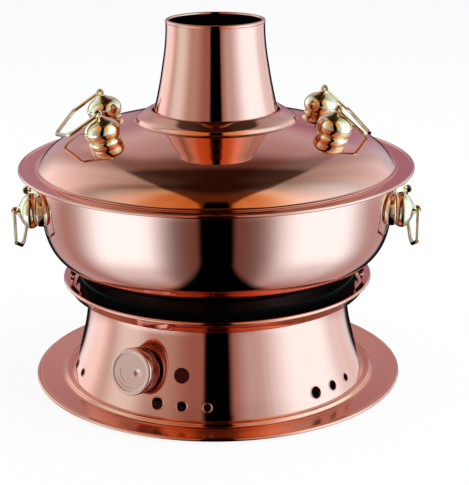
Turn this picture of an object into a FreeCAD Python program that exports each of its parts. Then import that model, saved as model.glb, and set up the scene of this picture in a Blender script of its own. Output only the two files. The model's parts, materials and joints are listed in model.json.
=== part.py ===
import FreeCAD, Part
import Sketcher
import math
import os

# Electric hot pot with a central chimney: a base with a heating plate, a wide-brimmed pot round a
# chimney, and a domed lid that lifts off over the chimney. Millimetres, +Z up. The origin is on the
# axis, on the surface that the feet stand on. The front, with the knob, faces -Y. An azimuth is
# counted from the front, -Y, towards +X.

SIZES = {
    # Sheet metal
    "gauge": 1.2,                  # thickness of every copper-coloured shell
    "bead_radius": 1.6,            # half the thickness of a rolled edge
    # Foot plate
    "foot_radius": 169.7,          # over the rolled edge
    "foot_top": 4.7,               # top of the flat outer ring
    "foot_bead_drop": 1.2,         # centre of the rolled edge under the ring's top
    "land_top": 6.7,               # top of the raised land that carries the housing
    "land_radius": 143.4,          # outer edge of the land
    "land_slope": 1.4,             # how far the land's edge runs out on its way down
    "foot_opening_radius": 110.0,  # hole that the bottom cover closes
    # Housing
    "housing_radius": 119.7,       # at the top, outside
    "housing_foot_radius": 137.9,  # at the land, outside
    "housing_top": 84.5,
    "housing_flange_width": 16.0,  # turned-in edge that is screwed to the foot plate
    "throat_radius": 103.5,        # hole through the housing's top and the dish's floor
    "vent_height": 16.8,
    "vent_big_radius": 5.5,
    "vent_middle_radius": 4.6,
    "vent_small_radius": 3.7,
    "vent_spacing": 9.6,           # degrees between neighbours in a group
    "vent_azimuth": -12.9,         # middle vent of the front group
    "vent_group_pitch": 63.2,      # degrees between groups
    "vent_groups": 5,              # the middle group is the front one
    # Dish round the heating plate
    "dish_floor_radius": 130.5,
    "dish_turn_radius": 135.4,     # end of the floor's rounded edge
    "dish_turn_rise": 2.6,
    "dish_radius": 141.6,          # over the rolled edge
    "dish_height": 12.8,           # floor's underside to the lip's top
    "dish_lip_width": 5.8,
    "dish_skirt": 2.6,             # how far the lip's inner edge turns down
    # Heating plate
    "plate_radius": 127.6,
    "plate_top": 101.5,
    "plate_thickness": 7.5,
    "plate_skirt": 12.0,           # depth of the outer edge
    "plate_skirt_width": 7.0,
    "plate_chamfer": 1.2,
    "element_ring_radius": 91.0,
    "element_radius": 3.3,
    "element_gap": 0.1,
    "element_rib_width": 15.0,
    "element_angle": 332.0,        # degrees of ring between the two terminals
    "terminal_length": 24.0,
    # Heat shield and what holds the plate
    "shield_gauge": 0.8,
    "shield_depth": 5.0,           # pan below the dish's floor
    "shield_floor_radius": 98.0,
    "shield_side_radius": 101.0,
    "shield_radius": 114.0,
    "shield_hole_radius": 6.0,     # clears an element terminal
    "stud_circle_radius": 60.0,
    "stud_radius": 2.5,
    "stud_bite": 4.0,              # length of stud in the plate
    "spacer_radius": 5.0,
    "nut_height": 4.0,
    "nut_flats": 8.0,
    "thread_gap": 0.1,
    "thread_proud": 1.2,           # how far a thread stands out of its nut
    "stud_azimuth": 90.0,
    "dish_screw_circle_radius": 109.0,
    "dish_screw_azimuth": 20.0,
    "screw_radius": 2.0,
    "screw_head_radius": 3.8,
    "screw_head_height": 2.2,
    # Underside
    "cover_radius": 118.0,
    "cover_gauge": 1.0,
    "cover_slot_length": 34.0,
    "cover_slot_radius": 2.0,
    "cover_slot_start": 48.0,      # radius at the inner end of a slot
    "cover_slots": 12,
    "cover_screw_circle_radius": 114.0,
    "rubber_foot_circle_radius": 129.0,
    "rubber_foot_azimuth": 45.0,
    "rubber_foot_radius": 9.0,
    "rubber_foot_draft": 0.8,
    "foot_pocket_gap": 0.5,        # round the head of a foot's screw
    "foot_pocket_sink": 0.6,       # how far that head lies inside the foot
    # Control knob and thermostat
    "knob_azimuth": -30.5,
    "control_height": 41.8,        # where the knob's and the lamp's axes leave the housing
    "knob_radius": 20.3,
    "knob_face": 20.2,             # face, out from the housing
    "knob_back": 3.0,              # back edge, out from the housing
    "knob_bezel": 4.6,             # smooth length next to the face
    "knob_round": 1.6,
    "knob_skirt": 2.2,             # smooth length next to the back edge
    "knob_dish": 0.5,              # how far the face lies below the bezel
    "knob_bezel_width": 3.2,
    "knob_hollow_radius": 16.6,
    "knob_roof": 5.0,
    "knob_boss_radius": 6.0,
    "knurl_depth": 0.7,
    "knurl_count": 60,
    "knurl_notch_share": 0.6,      # share of the pitch that a notch takes at the surface
    "dimple_radius": 3.5,
    "dimple_depth": 0.9,
    "dimple_offset": 7.2,
    "spindle_radius": 3.0,
    "spindle_gap": 0.06,
    "spindle_engagement": 9.0,     # length of spindle in the knob
    "spindle_depth": 12.0,         # length of spindle behind the housing's outside
    "spindle_flat": 2.4,           # axis to the flat that drives the knob
    "bush_radius": 5.0,
    "bush_gap": 0.2,
    "bush_proud": 2.4,
    "bush_nut_flats": 13.0,
    "bush_nut_height": 2.2,
    "bush_nut_seat": 0.3,          # clears the hollow of the housing's flare
    "thermostat_width": 34.0,
    "thermostat_height": 30.0,
    "thermostat_depth": 22.0,
    "thermostat_standoff": 4.0,
    "thermostat_wall_gap": 0.5,
    "thermostat_collar_radius": 8.0,
    "tab_width": 6.3,
    "tab_gauge": 0.8,
    "tab_length": 8.0,
    # Indicator lamp
    "lamp_azimuth": -13.7,
    "lamp_radius": 6.75,
    "lamp_gap": 0.15,
    "lamp_dome": 1.1,
    "lamp_rim": 0.6,               # height of the lens's edge
    "lamp_chamfer": 0.4,
    "lamp_body_length": 20.0,
    "lamp_terminal_length": 4.0,
    "lamp_clip_radius": 9.6,
    "lamp_clip_height": 1.6,
    # Mains inlet
    "inlet_azimuth": 180.0,
    "inlet_height": 40.0,
    "inlet_width": 27.0,
    "inlet_tall": 20.0,
    "inlet_depth": 22.0,
    "inlet_wall": 1.7,
    "inlet_back": 4.0,
    "inlet_flange": 3.2,
    "inlet_flange_height": 2.6,
    "inlet_gap": 0.2,
    "pin_width": 4.0,
    "pin_thickness": 2.0,
    "pin_reach": 14.0,
    "pin_tail": 8.0,
    "pin_spread": 7.0,
    "pin_drop": 2.0,
    # Pot
    "pot_radius": 161.0,           # outside, under the brim
    "pot_floor": 108.1,            # outside of the bottom
    "pot_floor_radius": 105.0,     # flat part of the bottom
    "pot_heel_radius": 129.3,
    "pot_heel_rise": 3.7,
    "pot_side_rise": 38.9,         # height over the bottom where the round ends
    "pot_side_lean": 4.0,          # about how far the wall still leans in there
    "pot_rim": 200.0,              # top of the brim
    "brim_width": 17.3,            # from the wall to the outside of the rolled edge
    "base_disc_radius": 102.0,
    "base_disc_chamfer": 1.0,
    # Chimney
    "chimney_radius": 43.4,        # outside, at the top
    "chimney_top": 329.5,
    "chimney_straight": 16.0,      # parallel length below the top
    "chimney_bead_radius": 1.7,
    "chimney_waist_radius": 56.2,  # where the flare meets the cone, inside the lid's collar
    "chimney_waist": 246.5,
    "chimney_foot_radius": 78.0,
    "chimney_foot": 3.0,           # upright length that stands on the pot's floor
    "chimney_ledge": 4.0,          # how far the floor runs in under the chimney
    # Lid
    "lid_flange_width": 2.6,       # beyond the dome's foot, which stands over the pot's wall
    "lid_flange_gauge": 1.0,
    "lid_shoulder_radius": 122.0,
    "lid_shoulder": 228.4,
    "lid_hole_radius": 64.0,
    "lid_hole_height": 241.4,
    "collar_radius": 73.0,
    "collar_edge": 2.7,            # height of the collar's outer edge
    "collar_inset": 0.9,
    "collar_neck_radius": 57.6,
    "collar_top": 250.2,
    "collar_top_width": 1.8,
    "collar_neck_length": 5.4,
    "locating_ring_gap": 3.0,      # pot's wall to the lid's ring
    "locating_ring_drop": 9.0,     # how far the ring reaches into the pot
    # Handle posts
    "post_base_radius": 14.2,
    "post_base_height": 4.4,
    "post_base_edge": 0.8,
    "post_base_groove": 0.8,       # depth and half width of the groove round a base
    "post_base_sink": 3.5,         # blank below the seat, before it is fitted to the wall
    "post_neck_radius": 12.6,
    "bulb_radius": 15.6,
    "bulb_widest": 5.0,            # height of the widest point over the base
    "bulb_shoulder_radius": 14.1,
    "bulb_shoulder": 8.4,          # height of the shoulder over the base
    "post_waist_radius": 5.6,
    "post_waist": 15.3,            # height over the base where the slope hollows
    "post_tip_radius": 2.7,
    "post_tip_drop": 0.9,          # flat tip under the centre of the eye
    "post_length": 24.6,           # seat to the centre of the eye
    "eye_radius": 3.5,
    "eye_half_width": 2.2,
    "hinge_gap": 0.07,             # running clearance of the wire in the eye
    "rivet_radius": 2.4,
    "rivet_head_radius": 5.0,
    "rivet_head_height": 2.2,
    "rivet_reach": 3.0,            # length of rivet in the post's base
    "lid_pivot_radius": 104.3,
    "lid_post_spacing": 92.0,
    "lid_post_tilt": 13.0,
    "lid_handle_turn": 4.0,        # degrees that the lid's handles stand round from the X axis
    "pot_post_spacing": 70.0,
    "pot_pivot_height": 164.5,
    # Wire bails
    "wire_radius": 1.7,
    "wire_bend": 2.6,
    "wire_end": 1.4,               # wire that shows inside the eye
    "wire_side_gap": 0.3,
    "kink_bend": 4.0,
    "bail_end_half": 6.5,
    "lid_bail_arm": 31.0,
    "lid_bail_length": 46.0,
    "pot_bail_arm": 28.0,
    "pot_bail_length": 41.0,
    "lid_bail_drop_right": 42.5,   # degrees under level; this one rests against its posts
    "lid_bail_drop_left": 35.0,    # this one is held by the grip of its eyes
}

Vector = FreeCAD.Vector
UP = Vector(0, 0, 1)
UPRIGHT = FreeCAD.Placement(Vector(0, 0, 0), FreeCAD.Rotation(Vector(1, 0, 0), 90))
AIMS = {
    "down": (Vector(0, -1, 0), "Horizontal"),
    "up": (Vector(0, 1, 0), "Horizontal"),
    "out": (Vector(1, 0, 0), "Vertical"),
    "in": (Vector(-1, 0, 0), "Vertical"),
}
SIDES = (("right", 0.0), ("left", 180.0))
ENDS = (("front", -1.0), ("rear", 1.0))
TALL = 400.0       # longer than the object, for cutting right through
PAST = 1.0         # how far a cutter runs past what it cuts
FULL_TURN = 360.0
CORNERS = 4        # rubber feet, and screws of the cover and the dish
STUDS = 3
NODES = []

doc = FreeCAD.newDocument("chimney_hot_pot")
size = doc.addObject("Spreadsheet::Sheet", "size")
for row, (alias, number) in enumerate(SIZES.items(), start=1):
    size.set("A%d" % row, alias)
    size.set("B%d" % row, str(number))
    size.setAlias("B%d" % row, alias)
doc.recompute()
reader = doc.addObject("App::FeaturePython", "reader")


# ---------------------------------------------------------------- tools

def value(expression):
    """Number that an expression over the sheet stands for."""
    return float(reader.evalExpression(str(expression)))


def node(part, label=None):
    """Marks an object as a sub-part, under its own label."""
    if label:
        part.Label = label
    NODES.append(part)
    return part


def bind(part, **expressions):
    """Ties an object's properties to the sheet."""
    for name, expression in expressions.items():
        part.setExpression(name, expression)
    return part


def pin(sketch, curve, end, vertex):
    """Holds one end of a sketch curve at a vertex given as two expressions."""
    for kind, axis, expression in zip(("DistanceX", "DistanceY"), (-2, -1), vertex):
        if expression is None:
            continue
        if expression == "0":
            sketch.addConstraint(Sketcher.Constraint("PointOnObject", curve, end, axis))
            continue
        index = sketch.addConstraint(Sketcher.Constraint(kind, curve, end, value(expression)))
        sketch.setExpression("Constraints[%d]" % index, expression)


def tangent_arc(here, aim, there):
    """Arc that leaves one point along a direction and ends at another, and how it is run."""
    side = Vector(-aim.y, aim.x, 0)
    chord = there - here
    radius = chord.dot(chord) / (2 * chord.dot(side))
    centre = here + side * radius
    first, last = ((p - centre) for p in (here, there))
    angles = [math.atan2(p.y, p.x) for p in (first, last)]
    ends = (1, 2)
    if radius < 0:
        angles.reverse()
        ends = (2, 1)
    if angles[1] < angles[0]:
        angles[1] += 2 * math.pi
    arc = Part.ArcOfCircle(Part.Circle(centre, UP, abs(radius)), *angles)
    turn = 1 if radius > 0 else -1
    leaving = Vector(-last.y, last.x, 0).normalize() * turn
    return arc, ends, leaving


def centred_arc(here, there):
    """Arc between two points about a centre on the axis, and how it is run, outwards and down."""
    height = (there.dot(there) - here.dot(here)) / (2 * (there.y - here.y))
    first, last = (math.atan2(p.y - height, p.x) for p in (here, there))
    circle = Part.Circle(Vector(0, height, 0), UP, math.hypot(here.x, here.y - height))
    arc = Part.ArcOfCircle(circle, last, first)
    return arc, (2, 1), Vector(math.sin(last), -math.cos(last), 0)


def outline(sketch, start, steps, closed):
    """Draws lines and tangent arcs from vertex to vertex.

    A step is a kind, an x and a z, which are expressions over the sheet. A line is straight. An arc
    leaves along the step before it, or along an aim that it names. A bow arrives along its aim. A cap
    is centred on the axis. A blend runs tangent into the line after it, so only its z is held.
    """
    here = Vector(value(start[0]), value(start[1]), 0)
    vertex = start
    kinds = [step[0] for step in steps]
    aim = None
    before = None
    first = None
    steps = list(steps)
    if closed and steps[-1][1:3] != tuple(start):
        steps.append(("line",) + tuple(start))
    for number, step in enumerate(steps):
        kind, target = step[0], step[1:3]
        own_aim = step[3] if len(step) > 3 else None
        there = Vector(value(target[0]), value(target[1]), 0)
        if own_aim:
            aim = AIMS[own_aim][0]
        if kind == "line":
            curve = sketch.addGeometry(Part.LineSegment(here, there), False)
            ends = (1, 2)
            aim = (there - here).normalize()
        elif kind == "cap":
            arc, ends, aim = centred_arc(here, there)
            curve = sketch.addGeometry(arc, False)
        elif kind == "bow":
            arc, backwards, _ = tangent_arc(there, aim * -1, here)
            ends = (backwards[1], backwards[0])
            curve = sketch.addGeometry(arc, False)
        else:
            arc, ends, aim = tangent_arc(here, aim, there)
            curve = sketch.addGeometry(arc, False)
        if before is None:
            first = (curve, ends[0])
            pin(sketch, curve, ends[0], vertex)
        elif (kind in ("arc", "blend") and not own_aim) or kinds[number - 1] == "blend":
            sketch.addConstraint(Sketcher.Constraint("Tangent", *before, curve, ends[0]))
        else:
            sketch.addConstraint(Sketcher.Constraint("Coincident", *before, curve, ends[0]))
        if own_aim:
            square = ends[1] if kind == "bow" else ends[0]
            sketch.addConstraint(Sketcher.Constraint(AIMS[own_aim][1], curve, 3, curve, square))
        if kind == "cap":
            sketch.addConstraint(Sketcher.Constraint("PointOnObject", curve, 3, -2))
        before = (curve, ends[1])
        if closed and number == len(steps) - 1:
            sketch.addConstraint(Sketcher.Constraint("Coincident", *before, *first))
        elif kind == "blend":
            pin(sketch, *before, (None, target[1]))
        else:
            pin(sketch, *before, target)
        here = there
    return sketch


def profile(label, start, steps, closed=False):
    """Sketch in the upright plane through the axis: x is the radius, y is the height."""
    sketch = doc.addObject("Sketcher::SketchObject", label)
    sketch.Placement = UPRIGHT
    return outline(sketch, start, steps, closed)


def turned(label, start, steps):
    """Solid of revolution about Z from a closed outline."""
    sketch = profile(label + "_outline", start, steps, closed=True)
    return spun(label, sketch)


def spun(label, source):
    """Revolves a profile about Z."""
    solid = doc.addObject("Part::Revolution", label)
    solid.Source = source
    solid.Axis = UP
    solid.Base = Vector(0, 0, 0)
    solid.Angle = FULL_TURN
    solid.Solid = True
    return solid


def shell(label, sketch, thickness):
    """Sheet-metal shell: an open profile, thickened to one side and revolved."""
    strip = doc.addObject("Part::Offset2D", label + "_strip")
    strip.Source = sketch
    strip.Mode = "Skin"
    strip.Join = "Intersection"
    strip.Fill = True
    bind(strip, Value=thickness)
    return spun(label, strip)


def torus(label, ring, wire, height):
    """Rolled edge about the axis."""
    ring_solid = doc.addObject("Part::Torus", label)
    bind(ring_solid, Radius1=ring, Radius2=wire)
    ring_solid.setExpression("Placement.Base.z", height)
    return ring_solid


def cylinder(label, radius, length, placement):
    """Cylinder that runs from the placement's origin along its Z."""
    rod = doc.addObject("Part::Cylinder", label)
    bind(rod, Radius=radius, Height=length)
    rod.Placement = placement
    return rod


def block(label, width, tall, depth, placement):
    """Box centred on the placement's Z axis, from its origin along Z."""
    box = doc.addObject("Part::Box", label)
    bind(box, Length=width, Width=tall, Height=depth)
    shift = Vector(-value(width) / 2, -value(tall) / 2, 0)
    box.Placement = placement * FreeCAD.Placement(shift, FreeCAD.Rotation())
    return box


def fused(label, parts):
    solid = doc.addObject("Part::MultiFuse", label)
    solid.Shapes = parts
    return solid


def bundle(label, parts):
    """Several objects as one."""
    group = doc.addObject("Part::Compound", label)
    group.Links = parts
    return group


def cut(label, base, tools):
    solid = doc.addObject("Part::Cut", label)
    solid.Base = base
    solid.Tool = tools[0] if len(tools) == 1 else bundle(label + "_tools", tools)
    return solid


def shared(label, base, tool):
    solid = doc.addObject("Part::Common", label)
    solid.Base = base
    solid.Tool = tool
    return solid


def at(placement, along):
    """A placement moved along its own Z."""
    return placement * FreeCAD.Placement(Vector(0, 0, along), FreeCAD.Rotation())


def ring_places(radius, height, count, first=0.0):
    """Upright placements, evenly round a circle about the axis."""
    places = []
    for step in range(count):
        angle = math.radians(first + FULL_TURN * step / count)
        spot = Vector(radius * math.sin(angle), -radius * math.cos(angle), height)
        places.append(FreeCAD.Placement(spot, FreeCAD.Rotation()))
    return places


def repeated(label, pattern, places):
    """One node that holds a placed copy of a pattern's shape at each place."""
    doc.recompute()
    group = doc.addObject("Part::Feature", label)
    copies = []
    for place in places:
        copy = pattern.Shape.copy()
        copy.Placement = place.multiply(pattern.Placement)
        copies.append(copy)
    group.Shape = Part.makeCompound(copies)
    return node(group)


def height_on(sketch, radius):
    """Height of a profile at a radius."""
    line = Part.makeLine(Vector(radius, 0, 0), Vector(radius, 0, TALL))
    return sketch.Shape.distToShape(line)[1][0][0].z


def radius_on(sketch, height):
    """Radius of a profile's outermost side at a height."""
    line = Part.makeLine(Vector(value("size.throat_radius"), 0, height), Vector(TALL, 0, height))
    return sketch.Shape.distToShape(line)[1][0][0].x


def wall_place(sketch, azimuth, height):
    """Placement on a profile's outside: Z out along the surface's normal, X level, Y up the wall."""
    angle = math.radians(azimuth)
    step = 0.5
    lean = math.atan((radius_on(sketch, height - step) - radius_on(sketch, height + step)) / (2 * step))
    radius = radius_on(sketch, height)
    level = Vector(math.cos(angle), math.sin(angle), 0)
    out = Vector(math.sin(angle), -math.cos(angle), 0) * math.cos(lean) + UP * math.sin(lean)
    spot = Vector(radius * math.sin(angle), -radius * math.cos(angle), height)
    return FreeCAD.Placement(spot, FreeCAD.Rotation(level, out.cross(level), out, "ZXY"))


def body_sketch(body, label, role, lift=0.0):
    """Sketch on one of a body's own origin planes, lifted along the plane's normal."""
    plane = [f for f in body.Origin.OriginFeatures if f.Role == role][0]
    sketch = body.newObject("Sketcher::SketchObject", label)
    sketch.AttachmentSupport = [(plane, "")]
    sketch.MapMode = "FlatFace"
    sketch.AttachmentOffset = FreeCAD.Placement(Vector(0, 0, lift), FreeCAD.Rotation())
    return sketch


def body_axis(body):
    """A body's own Z axis."""
    return [f for f in body.Origin.OriginFeatures if f.Role == "Z_Axis"][0]


def pocket_round(body, sketch, length, count, expression):
    """Pockets a sketch upwards and repeats the pocket round the body's Z axis."""
    doc.recompute()
    before = body.Shape.Volume
    pocket = body.newObject("PartDesign::Pocket", sketch.Name + "_pocket")
    pocket.Profile = sketch
    pocket.Reversed = True
    bind(pocket, Length=length)
    doc.recompute()
    if not pocket.Shape.Volume < before:
        raise RuntimeError("%s cuts nothing" % pocket.Label)
    pattern = body.newObject("PartDesign::PolarPattern", sketch.Name + "_pattern")
    pattern.Originals = [pocket]
    pattern.Axis = (body_axis(body), [""])
    pattern.Angle = FULL_TURN
    pattern.Occurrences = count
    bind(pattern, Occurrences=expression)
    body.Tip = pattern
    return pattern


def hex_nut(label, flats, height, bore):
    """Hexagonal nut that stands on the origin."""
    prism = doc.addObject("Part::Prism", label + "_hexagon")
    prism.Polygon = 6
    bind(prism, Circumradius="(%s) / 2 / cos(30)" % flats, Height=height)
    hole = cylinder(label + "_bore", bore, height, FreeCAD.Placement())
    return cut(label, prism, [hole])


def screw(label, shank, length):
    """Pan-head screw: the head stands on the origin and the shank hangs below it."""
    head, rise = "size.screw_head_radius", "size.screw_head_height"
    return turned(label, ("0", "-(%s)" % length), [
        ("line", shank, "-(%s)" % length),
        ("line", shank, "0"),
        ("line", head, "0"),
        ("line", head, "%s / 2" % rise),
        ("arc", "%s - %s / 2" % (head, rise), rise, "up"),
        ("line", "0", rise),
    ])


# ---------------------------------------------------------------- base

def make_foot_plate():
    """Wide ring under everything: a flat rim with a rolled edge and a raised land."""
    sketch = profile("foot_plate_profile", ("size.foot_opening_radius", "size.land_top"), [
        ("line", "size.land_radius - size.land_slope", "size.land_top"),
        ("line", "size.land_radius", "size.foot_top"),
        ("line", "size.foot_radius - size.bead_radius", "size.foot_top"),
    ])
    plate = shell("foot_plate_sheet", sketch, "-size.gauge")
    bead = torus("foot_plate_bead", "size.foot_radius - size.bead_radius", "size.bead_radius",
                 "size.foot_top - size.foot_bead_drop")
    raw = fused("foot_plate_blank", [plate, bead])
    holes = []
    for number, place in enumerate(foot_places() + cover_screw_places()):
        place.Base.z = 0
        holes.append(cylinder("foot_plate_hole_%d" % number, "size.screw_radius + size.thread_gap",
                              "2 * size.land_top", place))
    return node(cut("foot_plate", raw, holes))


def foot_places():
    return ring_places(value("size.rubber_foot_circle_radius"), 0.0, CORNERS,
                       value("size.rubber_foot_azimuth"))


def cover_screw_places():
    return ring_places(value("size.cover_screw_circle_radius"), 0.0, CORNERS)


HOUSING_START = ("size.throat_radius", "size.housing_top")
HOUSING_STEPS = [
    ("line", "size.housing_radius", "size.housing_top"),
    ("arc", "size.housing_foot_radius", "size.land_top", "down"),
]
HOUSING_FLANGE = ("line", "size.housing_foot_radius - size.housing_flange_width", "size.land_top")


def make_housing(sketch):
    """Flared shell with graded vents and openings for the knob, the lamp and the mains inlet."""
    raw = shell("base_housing_blank", sketch, "-size.gauge")
    tools = []
    radii = ("size.vent_big_radius", "size.vent_middle_radius", "size.vent_small_radius")
    half = int(value("size.vent_groups")) // 2
    for group in range(-half, half + 1):
        for place_in_group, radius in enumerate(radii, start=-1):
            azimuth = value("size.vent_azimuth") + group * value("size.vent_group_pitch")
            azimuth += place_in_group * value("size.vent_spacing")
            place = at(wall_place(sketch, azimuth, value("size.vent_height")), -vent_reach())
            name = "vent_%d_%d" % (group + half + 1, place_in_group + 2)
            tools.append(cylinder(name, radius, str(2 * vent_reach()), place))
    knob = at(knob_place(sketch), -vent_reach())
    tools.append(cylinder("bush_hole", "size.bush_radius + size.bush_gap", str(2 * vent_reach()), knob))
    lamp = at(lamp_place(sketch), -vent_reach())
    tools.append(cylinder("lamp_hole", "size.lamp_radius + size.lamp_gap", str(2 * vent_reach()), lamp))
    inlet = at(inlet_place(sketch), -vent_reach())
    tools.append(block("inlet_hole", "size.inlet_width + 2 * size.inlet_gap",
                       "size.inlet_tall + 2 * size.inlet_gap", str(2 * vent_reach()), inlet))
    # The feet's holes stop under the flare, and the dish's run inside it up to the top.
    for label, places, reach in (("foot", foot_places(), "2 * size.land_top"),
                                 ("dish", dish_screw_places(), "2 * size.housing_top")):
        for number, place in enumerate(places):
            tools.append(cylinder("housing_%s_hole_%d" % (label, number),
                                  "size.screw_radius + size.thread_gap", reach, place))
    return node(cut("base_housing", raw, tools))


def vent_reach():
    """Half the length of a cutter through the housing's wall."""
    return value("4 * size.gauge")


def knob_place(sketch):
    return wall_place(sketch, value("size.knob_azimuth"), value("size.control_height"))


def lamp_place(sketch):
    return wall_place(sketch, value("size.lamp_azimuth"), value("size.control_height"))


def inlet_place(sketch):
    return wall_place(sketch, value("size.inlet_azimuth"), value("size.inlet_height"))


def dish_screw_places():
    return ring_places(value("size.dish_screw_circle_radius"), 0.0, CORNERS,
                       value("size.dish_screw_azimuth"))


def make_dish():
    """Shallow flared dish on the housing, with a flat lip that turns down inside."""
    lip_top = "size.housing_top + size.dish_height"
    lip_inside = "size.dish_radius - size.dish_lip_width"
    sketch = profile("base_dish_profile", HOUSING_START, [
        ("line", "size.dish_floor_radius", "size.housing_top"),
        ("arc", "size.dish_turn_radius", "size.housing_top + size.dish_turn_rise"),
        ("line", "size.dish_radius - size.bead_radius / 2", lip_top + " - size.bead_radius"),
        ("line", "size.dish_radius - size.bead_radius", lip_top),
        ("line", lip_inside, lip_top),
        ("line", lip_inside, lip_top + " - size.dish_skirt"),
    ])
    sheet = shell("base_dish_sheet", sketch, "size.gauge")
    bead = torus("base_dish_bead", "size.dish_radius - size.bead_radius", "size.bead_radius",
                 lip_top + " - size.bead_radius")
    raw = fused("base_dish_blank", [sheet, bead])
    holes = []
    for number, place in enumerate(dish_screw_places()):
        holes.append(cylinder("dish_screw_hole_%d" % number, "size.screw_radius + size.thread_gap",
                              lip_top, place))
    return node(cut("base_dish", raw, holes))


def make_heating_plate():
    """Cast plate with a deep outer edge and a rib that holds the ring element."""
    under = "size.plate_top - size.plate_thickness"
    skirt_foot = "size.plate_top - size.plate_skirt"
    inner, outer = ("size.element_ring_radius %s size.element_rib_width / 2" % sign for sign in "-+")
    raw = turned("heating_plate_casting", ("0", under), [
        ("line", inner, under),
        ("line", inner, element_height()),
        ("line", outer, element_height()),
        ("line", outer, under),
        ("line", "size.plate_radius - size.plate_skirt_width", under),
        ("line", "size.plate_radius - size.plate_skirt_width", skirt_foot),
        ("line", "size.plate_radius", skirt_foot),
        ("line", "size.plate_radius", "size.plate_top - size.plate_chamfer"),
        ("line", "size.plate_radius - size.plate_chamfer", "size.plate_top"),
        ("line", "0", "size.plate_top"),
    ])
    groove = torus("element_groove", "size.element_ring_radius",
                   "size.element_radius + size.element_gap", element_height())
    tools = [groove]
    for number, place in enumerate(stud_places("(%s) + size.stud_bite" % under)):
        sink = at(place, -value("size.stud_bite + size.plate_thickness"))
        tools.append(cylinder("stud_hole_%d" % number, "size.stud_radius + size.thread_gap",
                              "size.stud_bite + size.plate_thickness", sink))
    return node(cut("heating_plate", raw, tools))


def element_height():
    """Centre of the ring element, level with the foot of its rib."""
    return "size.plate_top - size.plate_thickness - size.element_radius"


def stud_places(height):
    return ring_places(value("size.stud_circle_radius"), value(height), STUDS,
                       value("size.stud_azimuth"))


def terminal_places():
    """Tops of the element's two terminals."""
    gap = FULL_TURN - value("size.element_angle")
    ring, height = value("size.element_ring_radius"), value(element_height())
    places = []
    for angle in (0.0, -gap):
        turn = math.radians(angle)
        spot = Vector(ring * math.cos(turn), ring * math.sin(turn), height)
        places.append(FreeCAD.Placement(spot, FreeCAD.Rotation()))
    return places


def make_heating_element():
    """Tubular ring element with two terminals that turn down."""
    circle = doc.addObject("Sketcher::SketchObject", "element_section")
    circle.Placement = UPRIGHT
    centre = Vector(value("size.element_ring_radius"), value(element_height()), 0)
    curve = circle.addGeometry(Part.Circle(centre, UP, value("size.element_radius")), False)
    pin(circle, curve, 3, ("size.element_ring_radius", element_height()))
    index = circle.addConstraint(Sketcher.Constraint("Radius", curve, value("size.element_radius")))
    circle.setExpression("Constraints[%d]" % index, "size.element_radius")
    ring = spun("element_ring", circle)
    bind(ring, Angle="size.element_angle")
    parts = [ring]
    for number, place in enumerate(terminal_places()):
        ball = doc.addObject("Part::Sphere", "element_bend_%d" % number)
        bind(ball, Radius="size.element_radius")
        ball.Placement = place
        leg = cylinder("element_leg_%d" % number, "size.element_radius", "size.terminal_length",
                       at(place, -value("size.terminal_length")))
        parts += [ball, leg]
    return node(fused("heating_element", parts))


def shield_floor():
    """Underside of the heat shield's pan."""
    return "size.housing_top + size.gauge - size.shield_depth"


def make_heat_shield():
    """Thin pan that hangs in the throat and carries the plate's studs."""
    flange = "size.housing_top + size.gauge"
    sketch = profile("heat_shield_profile", ("size.stud_radius", shield_floor()), [
        ("line", "size.shield_floor_radius", shield_floor()),
        ("line", "size.shield_side_radius", flange),
        ("line", "size.shield_radius", flange),
    ])
    raw = shell("heat_shield_blank", sketch, "size.shield_gauge")
    holes = []
    for number, place in enumerate(stud_places("0")):
        holes.append(cylinder("shield_stud_hole_%d" % number, "size.stud_radius + size.thread_gap",
                              "size.plate_top", place))
    for number, place in enumerate(terminal_places()):
        place.Base.z = 0
        holes.append(cylinder("shield_terminal_hole_%d" % number, "size.shield_hole_radius",
                              "size.plate_top", place))
    for number, place in enumerate(dish_screw_places()):
        holes.append(cylinder("shield_screw_hole_%d" % number, "size.screw_radius + size.thread_gap",
                              "size.plate_top", place))
    return node(cut("heat_shield", raw, holes))


def make_plate_hardware():
    """Studs, spacers and nuts that carry the heating plate on the shield."""
    under = "size.plate_top - size.plate_thickness"
    spacer_foot = "(%s) + size.shield_gauge" % shield_floor()
    stud_foot = "(%s) - 2 * size.nut_height" % shield_floor()
    start = FreeCAD.Placement()
    stud = cylinder("plate_stud", "size.stud_radius",
                    "(%s) + size.stud_bite - (%s)" % (under, stud_foot), start)
    repeated("plate_studs", stud, stud_places(stud_foot))
    spacer_length = "(%s) - (%s)" % (under, spacer_foot)
    tube = cylinder("plate_spacer_tube", "size.spacer_radius", spacer_length, start)
    bore = cylinder("plate_spacer_bore", "size.stud_radius + size.thread_gap", spacer_length, start)
    spacer = cut("plate_spacer", tube, [bore])
    repeated("plate_spacers", spacer, stud_places(spacer_foot))
    nut = hex_nut("plate_nut", "size.nut_flats", "size.nut_height", "size.stud_radius + size.thread_gap")
    repeated("plate_nuts", nut, stud_places("(%s) - size.nut_height" % shield_floor()))


def make_dish_hardware():
    """Screws and nuts that hold the shield, the dish and the housing together."""
    seat = value("size.housing_top + size.gauge + size.shield_gauge")
    grip = "2 * size.gauge + size.shield_gauge + size.nut_height + size.thread_proud"
    bolt = screw("dish_screw", "size.screw_radius", grip)
    repeated("dish_screws", bolt, [at(place, seat) for place in dish_screw_places()])
    nut = hex_nut("dish_nut", "size.nut_flats", "size.nut_height", "size.screw_radius + size.thread_gap")
    under = value("size.housing_top - size.gauge - size.nut_height")
    repeated("dish_nuts", nut, [at(place, under) for place in dish_screw_places()])


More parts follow.
